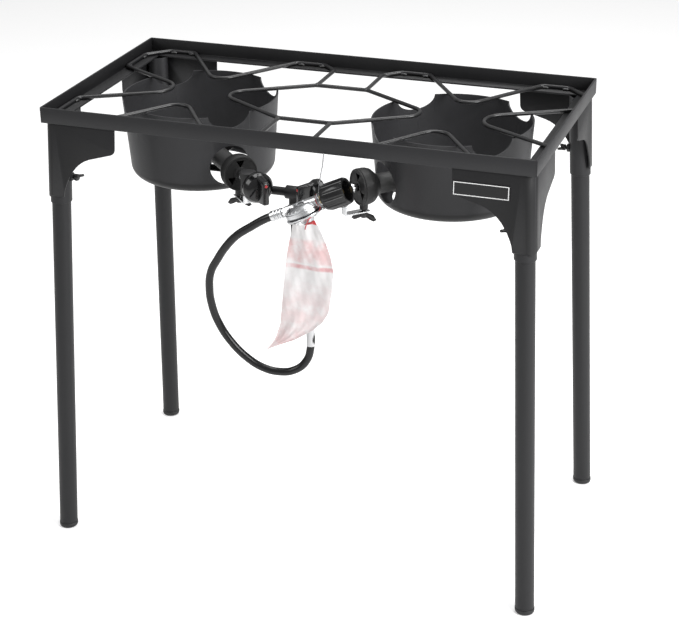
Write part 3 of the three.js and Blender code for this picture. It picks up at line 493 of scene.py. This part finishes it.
neck = turned("neck", [(0.0085, 0.010), (0.0085, 0.0282), (0.0076, 0.0288), (0.0076, 0.0308),
                       (0.0085, 0.0314), (0.0085, 0.0344), (0.0079, 0.035)], 64)
line_frame = axis_frame(REGULATOR, LINE, LINE_UP)
for piece in (boss, boss_round, neck):
    put(piece, line_frame)
regulator = joined("regulator_body_look", body, boss, boss_round, neck)
done(regulator, ZINC, "stand", ["regulator_body"], 30)

# %% Regulator bonnet, adjuster and nipple
BONNET_TOP, BONNET_HEIGHT, ADJUSTER_HEIGHT = -0.0123, 0.013, 0.016
BONNET_SCREWS, SCREW_RING, ADJUSTER_GROOVES, GROOVE_RING = 6, 0.0258, 16, 0.0092
bonnet = turned("regulator_bonnet_look", [
    (0.0095, -0.013), (0.0102, -0.0125), (0.012, -0.008), (0.0235, -0.0052), (0.0245, -0.0046), (0.0288, -0.0022),
    (0.029, -0.0018), (0.029, -0.0004), (0.0286, 0)], 96)
for vertex in bonnet.data.vertices:
    vertex.co.z += BONNET_TOP
screws = []
for step in range(BONNET_SCREWS):
    screw = turned("bonnet_screw", [(0.0014, -0.0052), (0.0022, -0.0048), (0.0022, -0.002)], 12)
    turn = 2 * math.pi * (step + 0.5) / BONNET_SCREWS
    shift = Vector((SCREW_RING * math.cos(turn), SCREW_RING * math.sin(turn), BONNET_TOP))
    screws.append(put(screw, Matrix.Translation(shift)))
bonnet = put(joined("regulator_bonnet_look", bonnet, *screws), body_frame)
done(bonnet, ZINC, "stand", ["regulator_bonnet"], 30)
adjuster = turned("regulator_adjuster_look", [
    (0.0050, 0), (0.0068, 0.0002), (0.0088, 0.0022), (0.009, 0.003), (0.009, 0.0135), (0.0072, 0.0158),
    (0.0066, 0.016)], 64)
grooves = []
for step in range(ADJUSTER_GROOVES):
    turn = 2 * math.pi * step / ADJUSTER_GROOVES
    groove = turned("groove", [(0.0008, 0.003), (0.0008, 0.0128)], 12)
    shift = Vector((GROOVE_RING * math.cos(turn), GROOVE_RING * math.sin(turn), 0))
    grooves.append(put(groove, Matrix.Translation(shift)))
adjuster = cut_by(adjuster, joined("grooves", *grooves))
put(adjuster, body_frame @ Matrix.Translation((0, 0, BONNET_TOP - BONNET_HEIGHT - GAP - ADJUSTER_HEIGHT)))
done(adjuster, RED, "regulator_adjuster", ["regulator_adjuster"], 30)
nipple = from_cad("inlet_nipple", 0.0003)
done(nipple, BRASS, "stand", ["inlet_nipple"], 30)

# %% [markdown]
# ## The coupling nut
# The hand nut that goes on the tank is moulded with finger flutes. It is a turned ring with an open
# mouth; one groove cutter copied twelve times round it makes the flutes.

# %% Coupling nut
NUT_START, NUT_LENGTH, NUT_R = BODY_R + NECK + 0.006, 0.039, 0.0204
FLUTES, FLUTE_RING = 12, 0.0223
nut = turned("coupling_nut_look", [
    (0.0092, 0.0006), (0.0150, 0.0), (0.0186, 0.0012), (NUT_R - 0.0012, 0.0035), (NUT_R, 0.008),
    (NUT_R, 0.0355), (NUT_R - 0.0012, NUT_LENGTH - 0.0008), (0.0176, NUT_LENGTH),
    (0.0155, NUT_LENGTH - 0.0008), (0.0155, 0.0062), (0.0092, 0.0060)],
    144, hollow=True)
flutes = []
for step in range(FLUTES):
    turn = 2 * math.pi * step / FLUTES
    flute = turned("flute", [(0.0034, 0.005), (0.0034, 0.044)], 20)
    shift = Vector((FLUTE_RING * math.cos(turn), FLUTE_RING * math.sin(turn), 0))
    flutes.append(put(flute, Matrix.Translation(shift)))
nut = cut_by(nut, joined("flutes", *flutes))
put(nut, axis_frame(on_line(NUT_START), LINE, LINE_UP))
done(nut, GLOSS, "coupling_nut", ["coupling_nut"], 30)

# %% [markdown]
# ## The tie and the tag
# A thin wire holds the regulator up to the frame. A folded film bag with a printed card hangs from it.
# The bag is a thin sheet that is crumpled by three soft waves, thickened to a film, and tinted in bands,
# with no lettering at all.

# %% Wire tie
tie_x = on_line(BODY_R + 0.0015).x
tie_low = on_line(BODY_R + 0.0015).z
wire_route = [(tie_x, -DEPTH / 2 - 0.002, RAIL_Z + 0.002), (tie_x + 0.0003, -0.208, 0.706),
              (tie_x - 0.0003, -0.218, 0.688), (tie_x, REGULATOR.y + 0.0015, tie_low + 0.0105)]
wire_loops = []
for step in range(49):
    turn = 2 * math.pi * step / 24
    along = 0.0022 * step / 48
    around = LINE_UP * (0.0093 * math.cos(turn)) + Vector((0, 0.0093 * math.sin(turn), 0))
    wire_loops.append(on_line(BODY_R + 0.0025 + along) + around)
wire = meshed(curve_piece("wire_tie_look", wire_route, 0.0009))
loops = meshed(curve_piece("wire_loops", wire_loops, 0.0008, "POLY"))
wire = joined("wire_tie_look", wire, loops)
done(wire, WIRE, "stand", ["wire_tie"], 60)


# %% Tag film material
TAG_TOP, TAG_LOW, TAG_FACE, TAG_LIFT = 0.629, 0.420, -0.2585, 0.004


def make_film():
    material = bpy.data.materials.new("tag_film_pale")
    material.use_nodes = True
    nodes, links = material.node_tree.nodes, material.node_tree.links
    shader = nodes["Principled BSDF"]
    place = nodes.new("ShaderNodeTexCoord")
    split = nodes.new("ShaderNodeSeparateXYZ")
    height = nodes.new("ShaderNodeMapRange")
    height.inputs["From Min"].default_value = TAG_LOW
    height.inputs["From Max"].default_value = TAG_TOP + TAG_LIFT
    card = nodes.new("ShaderNodeValToRGB")
    card.color_ramp.elements[0].position = 0.0
    card.color_ramp.elements[0].color = (0.72, 0.50, 0.50, 1)
    card.color_ramp.elements[1].position = 1.0
    card.color_ramp.elements[1].color = (0.68, 0.67, 0.67, 1)
    for position, color in ((0.12, (0.70, 0.55, 0.55)), (0.30, (0.72, 0.60, 0.60)), (0.54, (0.70, 0.64, 0.64)),
                            (0.57, (0.72, 0.70, 0.70)), (0.655, (0.72, 0.70, 0.70)), (0.665, (0.64, 0.36, 0.37)),
                            (0.685, (0.64, 0.36, 0.37)), (0.695, (0.70, 0.68, 0.68)), (0.715, (0.68, 0.50, 0.50)),
                            (0.86, (0.68, 0.46, 0.46)), (0.89, (0.68, 0.66, 0.66))):
        stop = card.color_ramp.elements.new(position)
        stop.color = (*color, 1)
    creases = nodes.new("ShaderNodeTexNoise")
    creases.inputs["Scale"].default_value = 60
    creases.inputs["Detail"].default_value = 5
    fade = nodes.new("ShaderNodeMapRange")
    fade.inputs["From Min"].default_value = 0.40
    fade.inputs["From Max"].default_value = 0.75
    pale = nodes.new("ShaderNodeMix")
    pale.data_type = "RGBA"
    pale.inputs["B"].default_value = (0.76, 0.75, 0.75, 1)
    relief = nodes.new("ShaderNodeBump")
    relief.inputs["Strength"].default_value = 0.42
    relief.inputs["Distance"].default_value = 0.003
    links.new(place.outputs["Object"], split.inputs["Vector"])
    links.new(split.outputs["Z"], height.inputs["Value"])
    links.new(height.outputs["Result"], card.inputs["Fac"])
    links.new(place.outputs["Object"], creases.inputs["Vector"])
    links.new(creases.outputs["Fac"], fade.inputs["Value"])
    links.new(fade.outputs["Result"], pale.inputs["Factor"])
    links.new(card.outputs["Color"], pale.inputs["A"])
    links.new(pale.outputs["Result"], shader.inputs["Base Color"])
    links.new(creases.outputs["Fac"], relief.inputs["Height"])
    links.new(relief.outputs["Normal"], shader.inputs["Normal"])
    shader.inputs["Roughness"].default_value = 0.28
    shader.inputs["Coat Weight"].default_value = 0.2
    return material


FILM = make_film()
print("made", FILM.name)

# %% Tag bag
TAG_LEFT = [(0.629, 0.0445), (0.602, 0.0385), (0.572, 0.033), (0.532, 0.0285), (0.492, 0.024),
            (0.467, 0.021), (0.442, 0.013), (0.429, 0.0055), (0.42, -0.002)]
TAG_RIGHT = [(0.629, 0.0845), (0.605, 0.095), (0.582, 0.1025), (0.56, 0.107), (0.532, 0.105),
             (0.495, 0.0985), (0.477, 0.088), (0.461, 0.071), (0.442, 0.044), (0.43, 0.018), (0.42, -0.0005)]


def edge_at(edge, z):
    for (z0, x0), (z1, x1) in zip(edge, edge[1:]):
        if z0 >= z >= z1:
            return x0 + (x1 - x0) * (z0 - z) / (z0 - z1)
    return edge[-1][1]


bpy.ops.object.select_all(action="DESELECT")
bpy.ops.mesh.primitive_grid_add(x_subdivisions=36, y_subdivisions=60, size=1)
tag = bpy.context.object
tag.name = "tag_bag_look"
for vertex in tag.data.vertices:
    u, v = vertex.co.x + 0.5, vertex.co.y + 0.5
    z = TAG_LOW + (TAG_TOP - TAG_LOW) * v
    left, far = edge_at(TAG_LEFT, z), edge_at(TAG_RIGHT, z)
    x = left + (far - left) * u
    width = far - left
    fold = 0.0016 * math.sin(7 * u + 9 * v) + 0.0007 * math.sin(17 * u - 12 * v + 1.3)
    fold += 0.0002 * math.sin(41 * u + 36 * v)
    vertex.co = (x, TAG_FACE + fold * min(1, 25 * width), z + TAG_LIFT * u * max(0, v - 0.9) / 0.1)
film = tag.modifiers.new("film", "SOLIDIFY")
film.thickness = 0.0004
only(tag)
bpy.ops.object.modifier_apply(modifier="film")
done(tag, FILM, "stand", ["tag_bag"], 60)
tag_loop = meshed(curve_piece("tag_loop", [
    on_line(BODY_R + 0.0022, 0.0094), on_line(BODY_R + 0.0022) + Vector((0, -0.0098, 0)),
    on_line(BODY_R + 0.0022, -0.0100) + Vector((0, -0.006, 0)), (0.068, -0.250, 0.638),
    (0.0660, -0.2585, 0.6305), (0.0650, -0.2600, 0.6255), (0.0640, -0.2580, 0.6225)], 0.0007))
done(tag_loop, RED, "stand", smooth=60)

# %% [markdown]
# ## The top frame and the brackets
# The rails are mitred angle iron, and the brackets are folded plate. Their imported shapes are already
# right, so each is copied and its edges are rounded a little.

# %% Rails, brackets and burner straps
for key in ("front", "right", "back", "left"):
    done(from_cad("rail_" + key, 0.0007), POWDER, "stand", ["rail_" + key])
for key in CORNERS:
    done(from_cad("bracket_" + key, 0.0003, 50), POWDER, "stand", ["bracket_" + key])
for key in SIDES:
    done(from_cad("burner_strap_" + key, 0.0004), POWDER, "stand", ["burner_strap_" + key])


# %% [markdown]
# ## The grate
# The grate is bent from steel rod: one closed loop in the middle and one run on each side that makes
# fingers over the burner. Each route is a row of corners with a bend radius, turned into points and
# swept with a round section. Small weld beads sit where the rods meet the frame and each other: one bead
# is shaped and then copied.

# %% Helper: a flat route with rounded corners
def bent_route(corners, z, step=0.12):
    points = []
    for i, (x, y, radius) in enumerate(corners):
        here = Vector((x, y))
        if not radius:
            points.append((x, y, z))
            continue
        before = (Vector(corners[i - 1][:2]) - here).normalized()
        after = (Vector(corners[i + 1][:2]) - here).normalized()
        half = math.acos(max(-1, min(1, before.dot(after)))) / 2
        centre = here + (before + after).normalized() * (radius / math.sin(half))
        start = here + before * (radius / math.tan(half)) - centre
        end = here + after * (radius / math.tan(half)) - centre
        turn = math.atan2(start.x * end.y - start.y * end.x, start.dot(end))
        steps = max(2, math.ceil(abs(turn) / step))
        for k in range(steps + 1):
            a = turn * k / steps
            p = Vector((start.x * math.cos(a) - start.y * math.sin(a),
                        start.x * math.sin(a) + start.y * math.cos(a)))
            points.append((centre.x + p.x, centre.y + p.y, z))
    return points


# %% Grate rods
FLANGE_X = WIDTH / 2 - RAIL_WALL - ROD_R - 0.001
FLANGE_Y = DEPTH / 2 - RAIL_WALL - ROD_R - 0.001
LOOP_HALF, LOOP_Y, LOOP_TIP = 0.043, 0.085, 0.180
loop_corners = [(0, LOOP_Y, 0), (-LOOP_HALF, LOOP_Y, 0.016), (-LOOP_TIP, 0, 0.026), (-LOOP_HALF, -LOOP_Y, 0.016),
                (LOOP_HALF, -LOOP_Y, 0.016), (LOOP_TIP, 0, 0.026), (LOOP_HALF, LOOP_Y, 0.016), (0.0001, LOOP_Y, 0)]
rod = meshed(curve_piece("grate_loop_look", bent_route(loop_corners, ROD_Z), ROD_R, "POLY"))
done(rod, ROD_COAT, "stand", ["grate_loop_middle"], 60)
half_run = [
    (LOOP_HALF - 0.001, LOOP_Y + 0.0035, 0), (LOOP_HALF - 0.001, 0.168, 0.014),
    (LOOP_HALF + 0.024, FLANGE_Y, 0.014), (POT_X - 0.094, FLANGE_Y, 0.012),
    (POT_X, 0.055, 0.024), (POT_X + 0.094, FLANGE_Y, 0.012),
    (FLANGE_X - 0.034, FLANGE_Y, 0.014), (FLANGE_X, FLANGE_Y - 0.034, 0.014), (FLANGE_X, 0.088, 0.012),
    (POT_X + 0.015, 0, 0.034)]
for key, side in SIDES.items():
    mirrored = [(x, -y, r) for x, y, r in reversed(half_run[:-1])]
    corners = [(side * x, y, r) for x, y, r in half_run + mirrored]
    rod = meshed(curve_piece("grate_run_look_" + key, bent_route(corners, ROD_Z), ROD_R, "POLY"))
    done(rod, ROD_COAT, "stand", ["grate_run_" + key], 60)

# %% Weld beads
BEAD_X, BEAD_Y, BEAD_Z = 0.3815, 0.1900, ROD_Z - 0.0015
bpy.ops.object.select_all(action="DESELECT")
bpy.ops.mesh.primitive_uv_sphere_add(segments=20, ring_count=10, radius=0.0044)
bead = bpy.context.object
bpy.ops.object.mode_set(mode="EDIT")
bpy.ops.mesh.select_all(action="SELECT")
bpy.ops.transform.resize(value=(1.5, 1.0, 0.55))
bpy.ops.transform.vertex_random(offset=0.0003, seed=4)
bpy.ops.object.mode_set(mode="OBJECT")
spots = []
for sx in (-1, 1):
    for sy in (-1, 1):
        spots += [(sx * (LOOP_HALF - 0.001), sy * (LOOP_Y + 0.002), ROD_Z + 0.001, 90),
                  (sx * 0.071, sy * BEAD_Y, BEAD_Z, 0), (sx * 0.109, sy * BEAD_Y, BEAD_Z, 0),
                  (sx * 0.309, sy * BEAD_Y, BEAD_Z, 0), (sx * 0.343, sy * BEAD_Y, BEAD_Z, 0),
                  (sx * BEAD_X, sy * 0.152, BEAD_Z, 90), (sx * BEAD_X, sy * 0.096, BEAD_Z, 90)]
beads = []
for x, y, z, angle in spots:
    copy = bpy.data.objects.new("bead", bead.data.copy())
    bpy.context.scene.collection.objects.link(copy)
    beads.append(put(copy, Matrix.Translation((x, y, z)) @ Matrix.Rotation(math.radians(angle), 4, "Z")))
bpy.data.objects.remove(bead)
done(joined("weld_beads", *beads), ROD_COAT, "stand", smooth=80)

# %% [markdown]
# ## Legs, sockets and feet
# A leg is a plain tube, pushed into a socket welded inside the bracket, and a wing bolt holds it. The
# sockets and legs lean outwards a little, so they are turned upright and then put in place with the
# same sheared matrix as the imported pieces. The two mirrored corners turn their faces round again.

# %% Helper: corner matrix
def corner_frame(sx, sy):
    lean = SPLAY * RAIL_Z
    return Matrix(((-sx, 0, -sx * SPLAY, sx * (WIDTH / 2 + lean)),
                   (0, -sy, -sy * SPLAY, sy * (DEPTH / 2 + lean)), (0, 0, 1, 0), (0, 0, 0, 1)))


# %% Legs, feet, sockets and wing bolts
LEG_FOOT, LEG_WALL, SOCKET_LENGTH, BOLT_DROP = 0.0093, 0.0015, 0.132, 0.090
to_leg = Matrix.Translation((LEG_INSET, LEG_INSET, 0))
for key, (sx, sy) in CORNERS.items():
    place = corner_frame(sx, sy) @ to_leg
    low, top = LEG_FOOT, RAIL_Z - 0.0006
    leg = turned("leg_look_" + key, [
        (LEG_R - 0.0005, low), (LEG_R, low + 0.0005), (LEG_R, top - 0.0005), (LEG_R - 0.0005, top),
        (LEG_R - LEG_WALL, top), (LEG_R - LEG_WALL, low)], 72, True)
    done(put(leg, place), POWDER, "leg_" + key, ["leg_" + key])
    cap = turned("foot_cap_look_" + key, [
        (0.0105, 0), (0.0126, 0.0003), (0.0142, 0.0012), (0.0152, 0.0028), (0.0156, 0.0045), (0.0156, 0.0082),
        (0.0151, 0.009), (0.0132, 0.0091), (0.0132, 0.024)], 72)
    done(put(cap, place), MATTE, "leg_" + key, ["foot_cap_" + key])
    low = RAIL_Z - SOCKET_LENGTH
    pipe = turned("socket_look_" + key, [
        (SOCKET_BORE, low + 0.0003), (SOCKET_BORE + 0.0006, low), (SOCKET_R - 0.0004, low),
        (SOCKET_R, low + 0.0004), (SOCKET_R, RAIL_Z - GAP), (SOCKET_BORE, RAIL_Z - GAP)], 72, True)
    bolt_z = RAIL_Z - BOLT_DROP
    welded_nut = turned("socket_nut", [(0.0062, 0), (0.0068, 0.0006), (0.0068, 0.0046), (0.006, 0.0052)], 6)
    put(welded_nut, axis_frame(Vector((SOCKET_R - 0.0006, 0, bolt_z)), Vector((1, 0, 0))))
    socket = joined("socket_look_" + key, pipe, welded_nut)
    done(put(socket, place), POWDER, "stand", ["socket_" + key])
    bolt = from_cad("wing_bolt_" + key, 0.0006, 30)
    done(bolt, MATTE, "wing_bolt_" + key, ["wing_bolt_" + key])

# %% [markdown]
# ## The windshields
# Each windshield is a pressed bowl with an open bottom. Its wall is turned with real thickness; then
# four rounded notches and one air hole are cut with cylinders, as a press would.

# %% Windshields
POT_FOOT_R, POT_CORNER, POT_TOP_R, POT_WALL, POT_MOUTH_R = 0.117, 0.018, 0.125, 0.002, 0.092
NOTCH_HALF_WIDTH, NOTCH_DEPTH, NOTCH_Z, AIR_HOLE_R = 0.034, 0.022, 0.129, 0.0325
corner_r = POT_FOOT_R - POT_CORNER


def foot_arc(radius, steps=8):
    turns = [math.pi / 2 * k / steps for k in range(steps + 1)]
    return [(corner_r + radius * math.sin(a), POT_CORNER - radius * math.cos(a)) for a in turns]


def heading_of(side):
    return Vector((-side, -1, 0)).normalized()


for key, side in SIDES.items():
    centre = Vector((side * POT_X, 0, 0))
    heading = heading_of(side)
    inner = foot_arc(POT_CORNER - POT_WALL)[::-1]
    profile = [(POT_MOUTH_R, 0.0), *foot_arc(POT_CORNER), (POT_TOP_R, POT_HEIGHT),
               (POT_TOP_R - POT_WALL, POT_HEIGHT), *inner, (POT_MOUTH_R, POT_WALL)]
    bowl = turned("windshield_look_" + key, profile, 144, True)
    tools = []
    for step in range(4):
        turn = math.pi / 4 + step * math.pi / 2
        bpy.ops.object.select_all(action="DESELECT")
        bpy.ops.mesh.primitive_cylinder_add(vertices=72, radius=1, depth=0.06, rotation=(math.pi / 2, 0, 0))
        tool = bpy.context.object
        bpy.ops.object.transform_apply()
        tool.data.transform(Matrix.Diagonal((NOTCH_HALF_WIDTH, 1, NOTCH_DEPTH, 1)))
        tool.data.transform(Matrix.Rotation(turn - math.pi / 2, 4, "Z"))
        shift = Vector((POT_TOP_R * math.cos(turn), POT_TOP_R * math.sin(turn), NOTCH_Z))
        tool.data.transform(Matrix.Translation(shift))
        tools.append(tool)
    bpy.ops.object.select_all(action="DESELECT")
    bpy.ops.mesh.primitive_cylinder_add(vertices=72, radius=AIR_HOLE_R, depth=0.045, location=(0, 0, 0.1225))
    air = bpy.context.object
    bpy.ops.object.transform_apply()
    air.data.transform(axis_frame(Vector((0, 0, GAS_Z - POT_FOOT_Z)), heading))
    bowl = cut_by(bowl, *tools, air)
    rounded(bowl, 0.0003, 2, 50)
    put(bowl, Matrix.Translation((centre.x, 0, POT_FOOT_Z)))
    done(bowl, POWDER, "stand", ["windshield_" + key])

# %% [markdown]
# ## The burners
# A burner is one iron casting: a round head full of raised jets, a venturi tube, and a bell mouth where
# air goes in. The head is turned, one jet is copied in rings over its top, and the tube and the bell are
# turned along the gas axis.

# %% Burners
JET_RINGS = ((0.011, 6, 0.0150), (0.0205, 12, 0.0146), (0.030, 18, 0.0142), (0.039, 24, 0.0136))
for key, side in SIDES.items():
    centre = Vector((side * POT_X, 0, GAS_Z))
    heading = heading_of(side)
    upright = Matrix.Translation((centre.x, 0, GAS_Z))
    gas = axis_frame(centre, heading)
    head = turned("burner_look_" + key, [
        (0.030, -0.013), (0.040, -0.0128), (0.050, -0.0065), (0.052, -0.004), (0.052, 0.0060), (0.0505, 0.0085),
        (0.045, 0.013), (0.043, 0.0142), (0.020, 0.0152), (0.012, 0.0155), (0.002, 0.0156)], 96)
    jets = []
    for ring_radius, count, z in JET_RINGS:
        for step in range(count):
            turn = 2 * math.pi * (step + 0.25 * ring_radius * 100) / count
            jet = turned("jet", [(0.0034, -0.001), (0.0031, 0.0005), (0.0026, 0.0018), (0.0017, 0.0022)], 10)
            shift = Vector((ring_radius * math.cos(turn), ring_radius * math.sin(turn), z - 0.0008))
            jets.append(put(jet, Matrix.Translation(shift)))
    foot = turned("burner_foot", [(0.011, -0.0374), (0.013, -0.036), (0.013, -0.011), (0.012, -0.010)], 48)
    head = put(joined("burner_head", head, foot, *jets), upright)
    stem = turned("venturi", [(0.0115, 0.046), (0.0155, 0.046), (0.0155, 0.132), (0.0115, 0.132)], 64, True)
    bell = turned("bell", [
        (0.0120, 0.130), (0.0155, 0.1305), (0.0185, 0.1335), (0.0235, 0.1385), (0.0262, 0.1415),
        (0.0280, 0.1465), (0.0285, 0.150), (0.0285, 0.1592), (0.0278, BELL_END), (0.0262, BELL_END),
        (0.0255, 0.1592), (0.0255, 0.149), (0.0235, 0.144), (0.0160, 0.1385)], 96, True)
    put(stem, gas)
    put(bell, gas)
    lug_at = centre + heading * (BELL_END - 0.008)
    lug = turned("lug", [(0.0034, -0.0365), (0.0060, -0.0365), (0.0065, -0.036), (0.0065, -0.027),
                         (0.0034, -0.027)], 32, True)
    put(lug, Matrix.Translation(lug_at))
    burner = joined("burner_look_" + key, head, stem, bell, lug)
    done(burner, CAST, "stand", ["burner_" + key], 35)

# %% [markdown]
# ## Air shutters, spuds and valves
# The shutter is a stamped disc over the bell's mouth with windows for the air. Its rim is turned, and
# three-sided cutters make the windows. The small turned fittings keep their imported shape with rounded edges.

# %% Air shutters
for key, side in SIDES.items():
    gas = axis_frame(Vector((side * POT_X, 0, GAS_Z)), heading_of(side))
    low = BELL_END + GAP
    shutter = turned("air_shutter_look_" + key, [
        (0.0062, low), (0.0272, low), (0.0280, low + 0.0004), (0.0280, low + 0.0017), (0.0274, low + 0.0023),
        (0.0258, low + 0.0023), (0.0250, low + 0.0014), (0.0110, low + 0.0014), (0.0100, low + 0.0022),
        (0.0062, low + 0.0022)], 96, True)
    windows = []
    for step in range(3):
        bpy.ops.object.select_all(action="DESELECT")
        bpy.ops.mesh.primitive_cylinder_add(vertices=3, radius=0.0080, depth=0.01, location=(0.0172, 0, low),
                                            rotation=(0, 0, math.radians(90)))
        window = bpy.context.object
        bpy.ops.object.transform_apply()
        windows.append(put(window, Matrix.Rotation(2 * math.pi * step / 3, 4, "Z")))
    shutter = cut_by(shutter, *windows)
    put(shutter, gas)
    done(shutter, CAST, "air_shutter_" + key, ["air_shutter_" + key], 35)

# %% Spuds, valves, valve brackets and the manifold
for key in SIDES:
    done(from_cad("spud_" + key, 0.0003), PLATED, "stand", ["spud_" + key])
    done(from_cad("valve_" + key, 0.0005), MATTE, "stand", ["valve_" + key])
    done(from_cad("valve_bracket_" + key, 0.0003), PLATED, "stand", ["valve_bracket_" + key])
    screw = from_cad("wing_screw_" + key, 0.0007, 30)
    done(screw, GLOSS, "wing_screw_" + key, ["wing_screw_" + key])
done(from_cad("manifold_pipe", 0.0004), POWDER, "stand", ["manifold_pipe"])
done(from_cad("inlet_tee", 0.0005), POWDER, "stand", ["inlet_tee"])

# %% [markdown]
# ## The knobs
# Each knob is glossy black plastic: a round skirt, a domed cap, and a deep bar to hold. The bar starts
# as a cube, tapers towards its outer edge, and gets wide bevels. A red dot at one end of the bar shows
# where the valve points.

# %% Knobs
BAR_TAPER = 0.80
for key, side in SIDES.items():
    heading = heading_of(side)
    place = axis_frame(Vector((side * POT_X, 0, GAS_Z)) + heading * KNOB_S, heading)
    skirt = turned("knob_skirt", [
        (0.0038, 0.0110), (0.0038, 0.0), (0.0225, 0.0), (0.0236, 0.0005), (0.024, 0.0016), (0.024, 0.0080),
        (0.0236, 0.0092), (0.0222, 0.0112), (0.0212, 0.0140), (0.0190, 0.0168), (0.0150, 0.0190), (0.0080, 0.0205),
        (0.0010, 0.0209)], 96)
    bar = box_piece("knob_bar", (-0.0225, -0.0062, 0.004), (0.0225, 0.0062, 0.039))
    for vertex in bar.data.vertices:
        if vertex.co.z > 0.03:
            vertex.co.x *= BAR_TAPER
            vertex.co.y *= BAR_TAPER
    rounded(bar, 0.0030, 5, 30)
    knob = put(joined("knob_look_" + key, skirt, bar), place)
    done(knob, GLOSS, "knob_" + key, ["knob_" + key], 35)
    dot = turned("knob_dot_" + key, [(0.0026, 0.0375), (0.0026, 0.0388), (0.0022, 0.03935), (0.0008, 0.0395)], 32)
    put(dot, place @ Matrix.Translation((0.0125, 0, 0)))
    done(dot, RED, "knob_" + key)

# %% [markdown]
# ## The name plate
# A thin black plate is fixed to the right front bracket. It is left blank, with a plain pale border: the
# front face is inset twice, and the ring between the two insets is painted.

# %% Blank name plate
PLATE_MARGIN, PLATE_LINE = 0.0010, 0.0012
plate = from_cad("name_plate", 0.0001)
plate.data.materials.append(GLOSS)
plate.data.materials.append(WHITE)
only(plate)
bpy.ops.object.mode_set(mode="EDIT")
bpy.ops.mesh.select_mode(type="FACE")
bpy.ops.mesh.select_all(action="DESELECT")
bpy.ops.object.mode_set(mode="OBJECT")
front = max(plate.data.polygons, key=lambda face: -face.normal.y * face.area)
front.select = True
bpy.ops.object.mode_set(mode="EDIT")
bpy.ops.mesh.inset(thickness=PLATE_MARGIN)
bpy.ops.mesh.inset(thickness=PLATE_LINE)
bpy.ops.object.mode_set(mode="OBJECT")
middle = next(face for face in plate.data.polygons if face.select)
edge_keys = set(middle.edge_keys)
for face in plate.data.polygons:
    if face.index != middle.index and edge_keys & set(face.edge_keys):
        face.material_index = 1
done(plate, None, "stand", ["name_plate"])

# %% [markdown]
# ## Floor and light
# A wide pale floor gives soft shadows under the feet, and glows a little for the camera so that it stays
# white. A large soft light stands to the right, a weaker one to the left and one above, and the pale world
# fills the rest.

# %% Floor, lights and world
FLOOR_GLOW, WORLD_STRENGTH = 0.30, 0.42


def floor_material():
    material = bpy.data.materials.new("floor_pale")
    material.use_nodes = True
    shader = material.node_tree.nodes["Principled BSDF"]
    shader.inputs["Base Color"].default_value = (0.92, 0.92, 0.92, 1)
    shader.inputs["Roughness"].default_value = 0.6
    shader.inputs["Emission Color"].default_value = (1, 1, 1, 1)
    nodes, links = material.node_tree.nodes, material.node_tree.links
    seen = nodes.new("ShaderNodeLightPath")
    glow = nodes.new("ShaderNodeMath")
    glow.operation = "MULTIPLY"
    glow.inputs[1].default_value = FLOOR_GLOW
    links.new(seen.outputs["Is Camera Ray"], glow.inputs[0])
    links.new(glow.outputs["Value"], shader.inputs["Emission Strength"])
    return material


bpy.ops.object.select_all(action="DESELECT")
bpy.ops.mesh.primitive_plane_add(size=30, location=(0, 6, 0))
floor = bpy.context.object
floor.name = "floor"
floor.data.materials.append(floor_material())


def soft_light(name, place, target, size, power):
    bpy.ops.object.light_add(type="AREA", location=place)
    light = bpy.context.object
    light.name = name
    light.data.size = size
    light.data.energy = power
    aim = (Vector(target) - Vector(place)).to_track_quat("-Z", "Y")
    light.rotation_euler = aim.to_euler()
    return light


soft_light("light_right", (2.6, -1.0, 1.9), (0, 0, 0.6), 1.6, 95)
soft_light("light_left", (-2.4, -1.8, 2.6), (0, 0, 0.5), 1.6, 30)
soft_light("light_top", (0.2, 0.6, 3.2), (0, 0, 0.7), 2.2, 70)
bpy.context.scene.view_settings.view_transform = "Standard"
world = bpy.data.worlds.new("pale_world")
bpy.context.scene.world = world
world.use_nodes = True
world.node_tree.nodes["Background"].inputs["Color"].default_value = (1, 1, 1, 1)
world.node_tree.nodes["Background"].inputs["Strength"].default_value = WORLD_STRENGTH
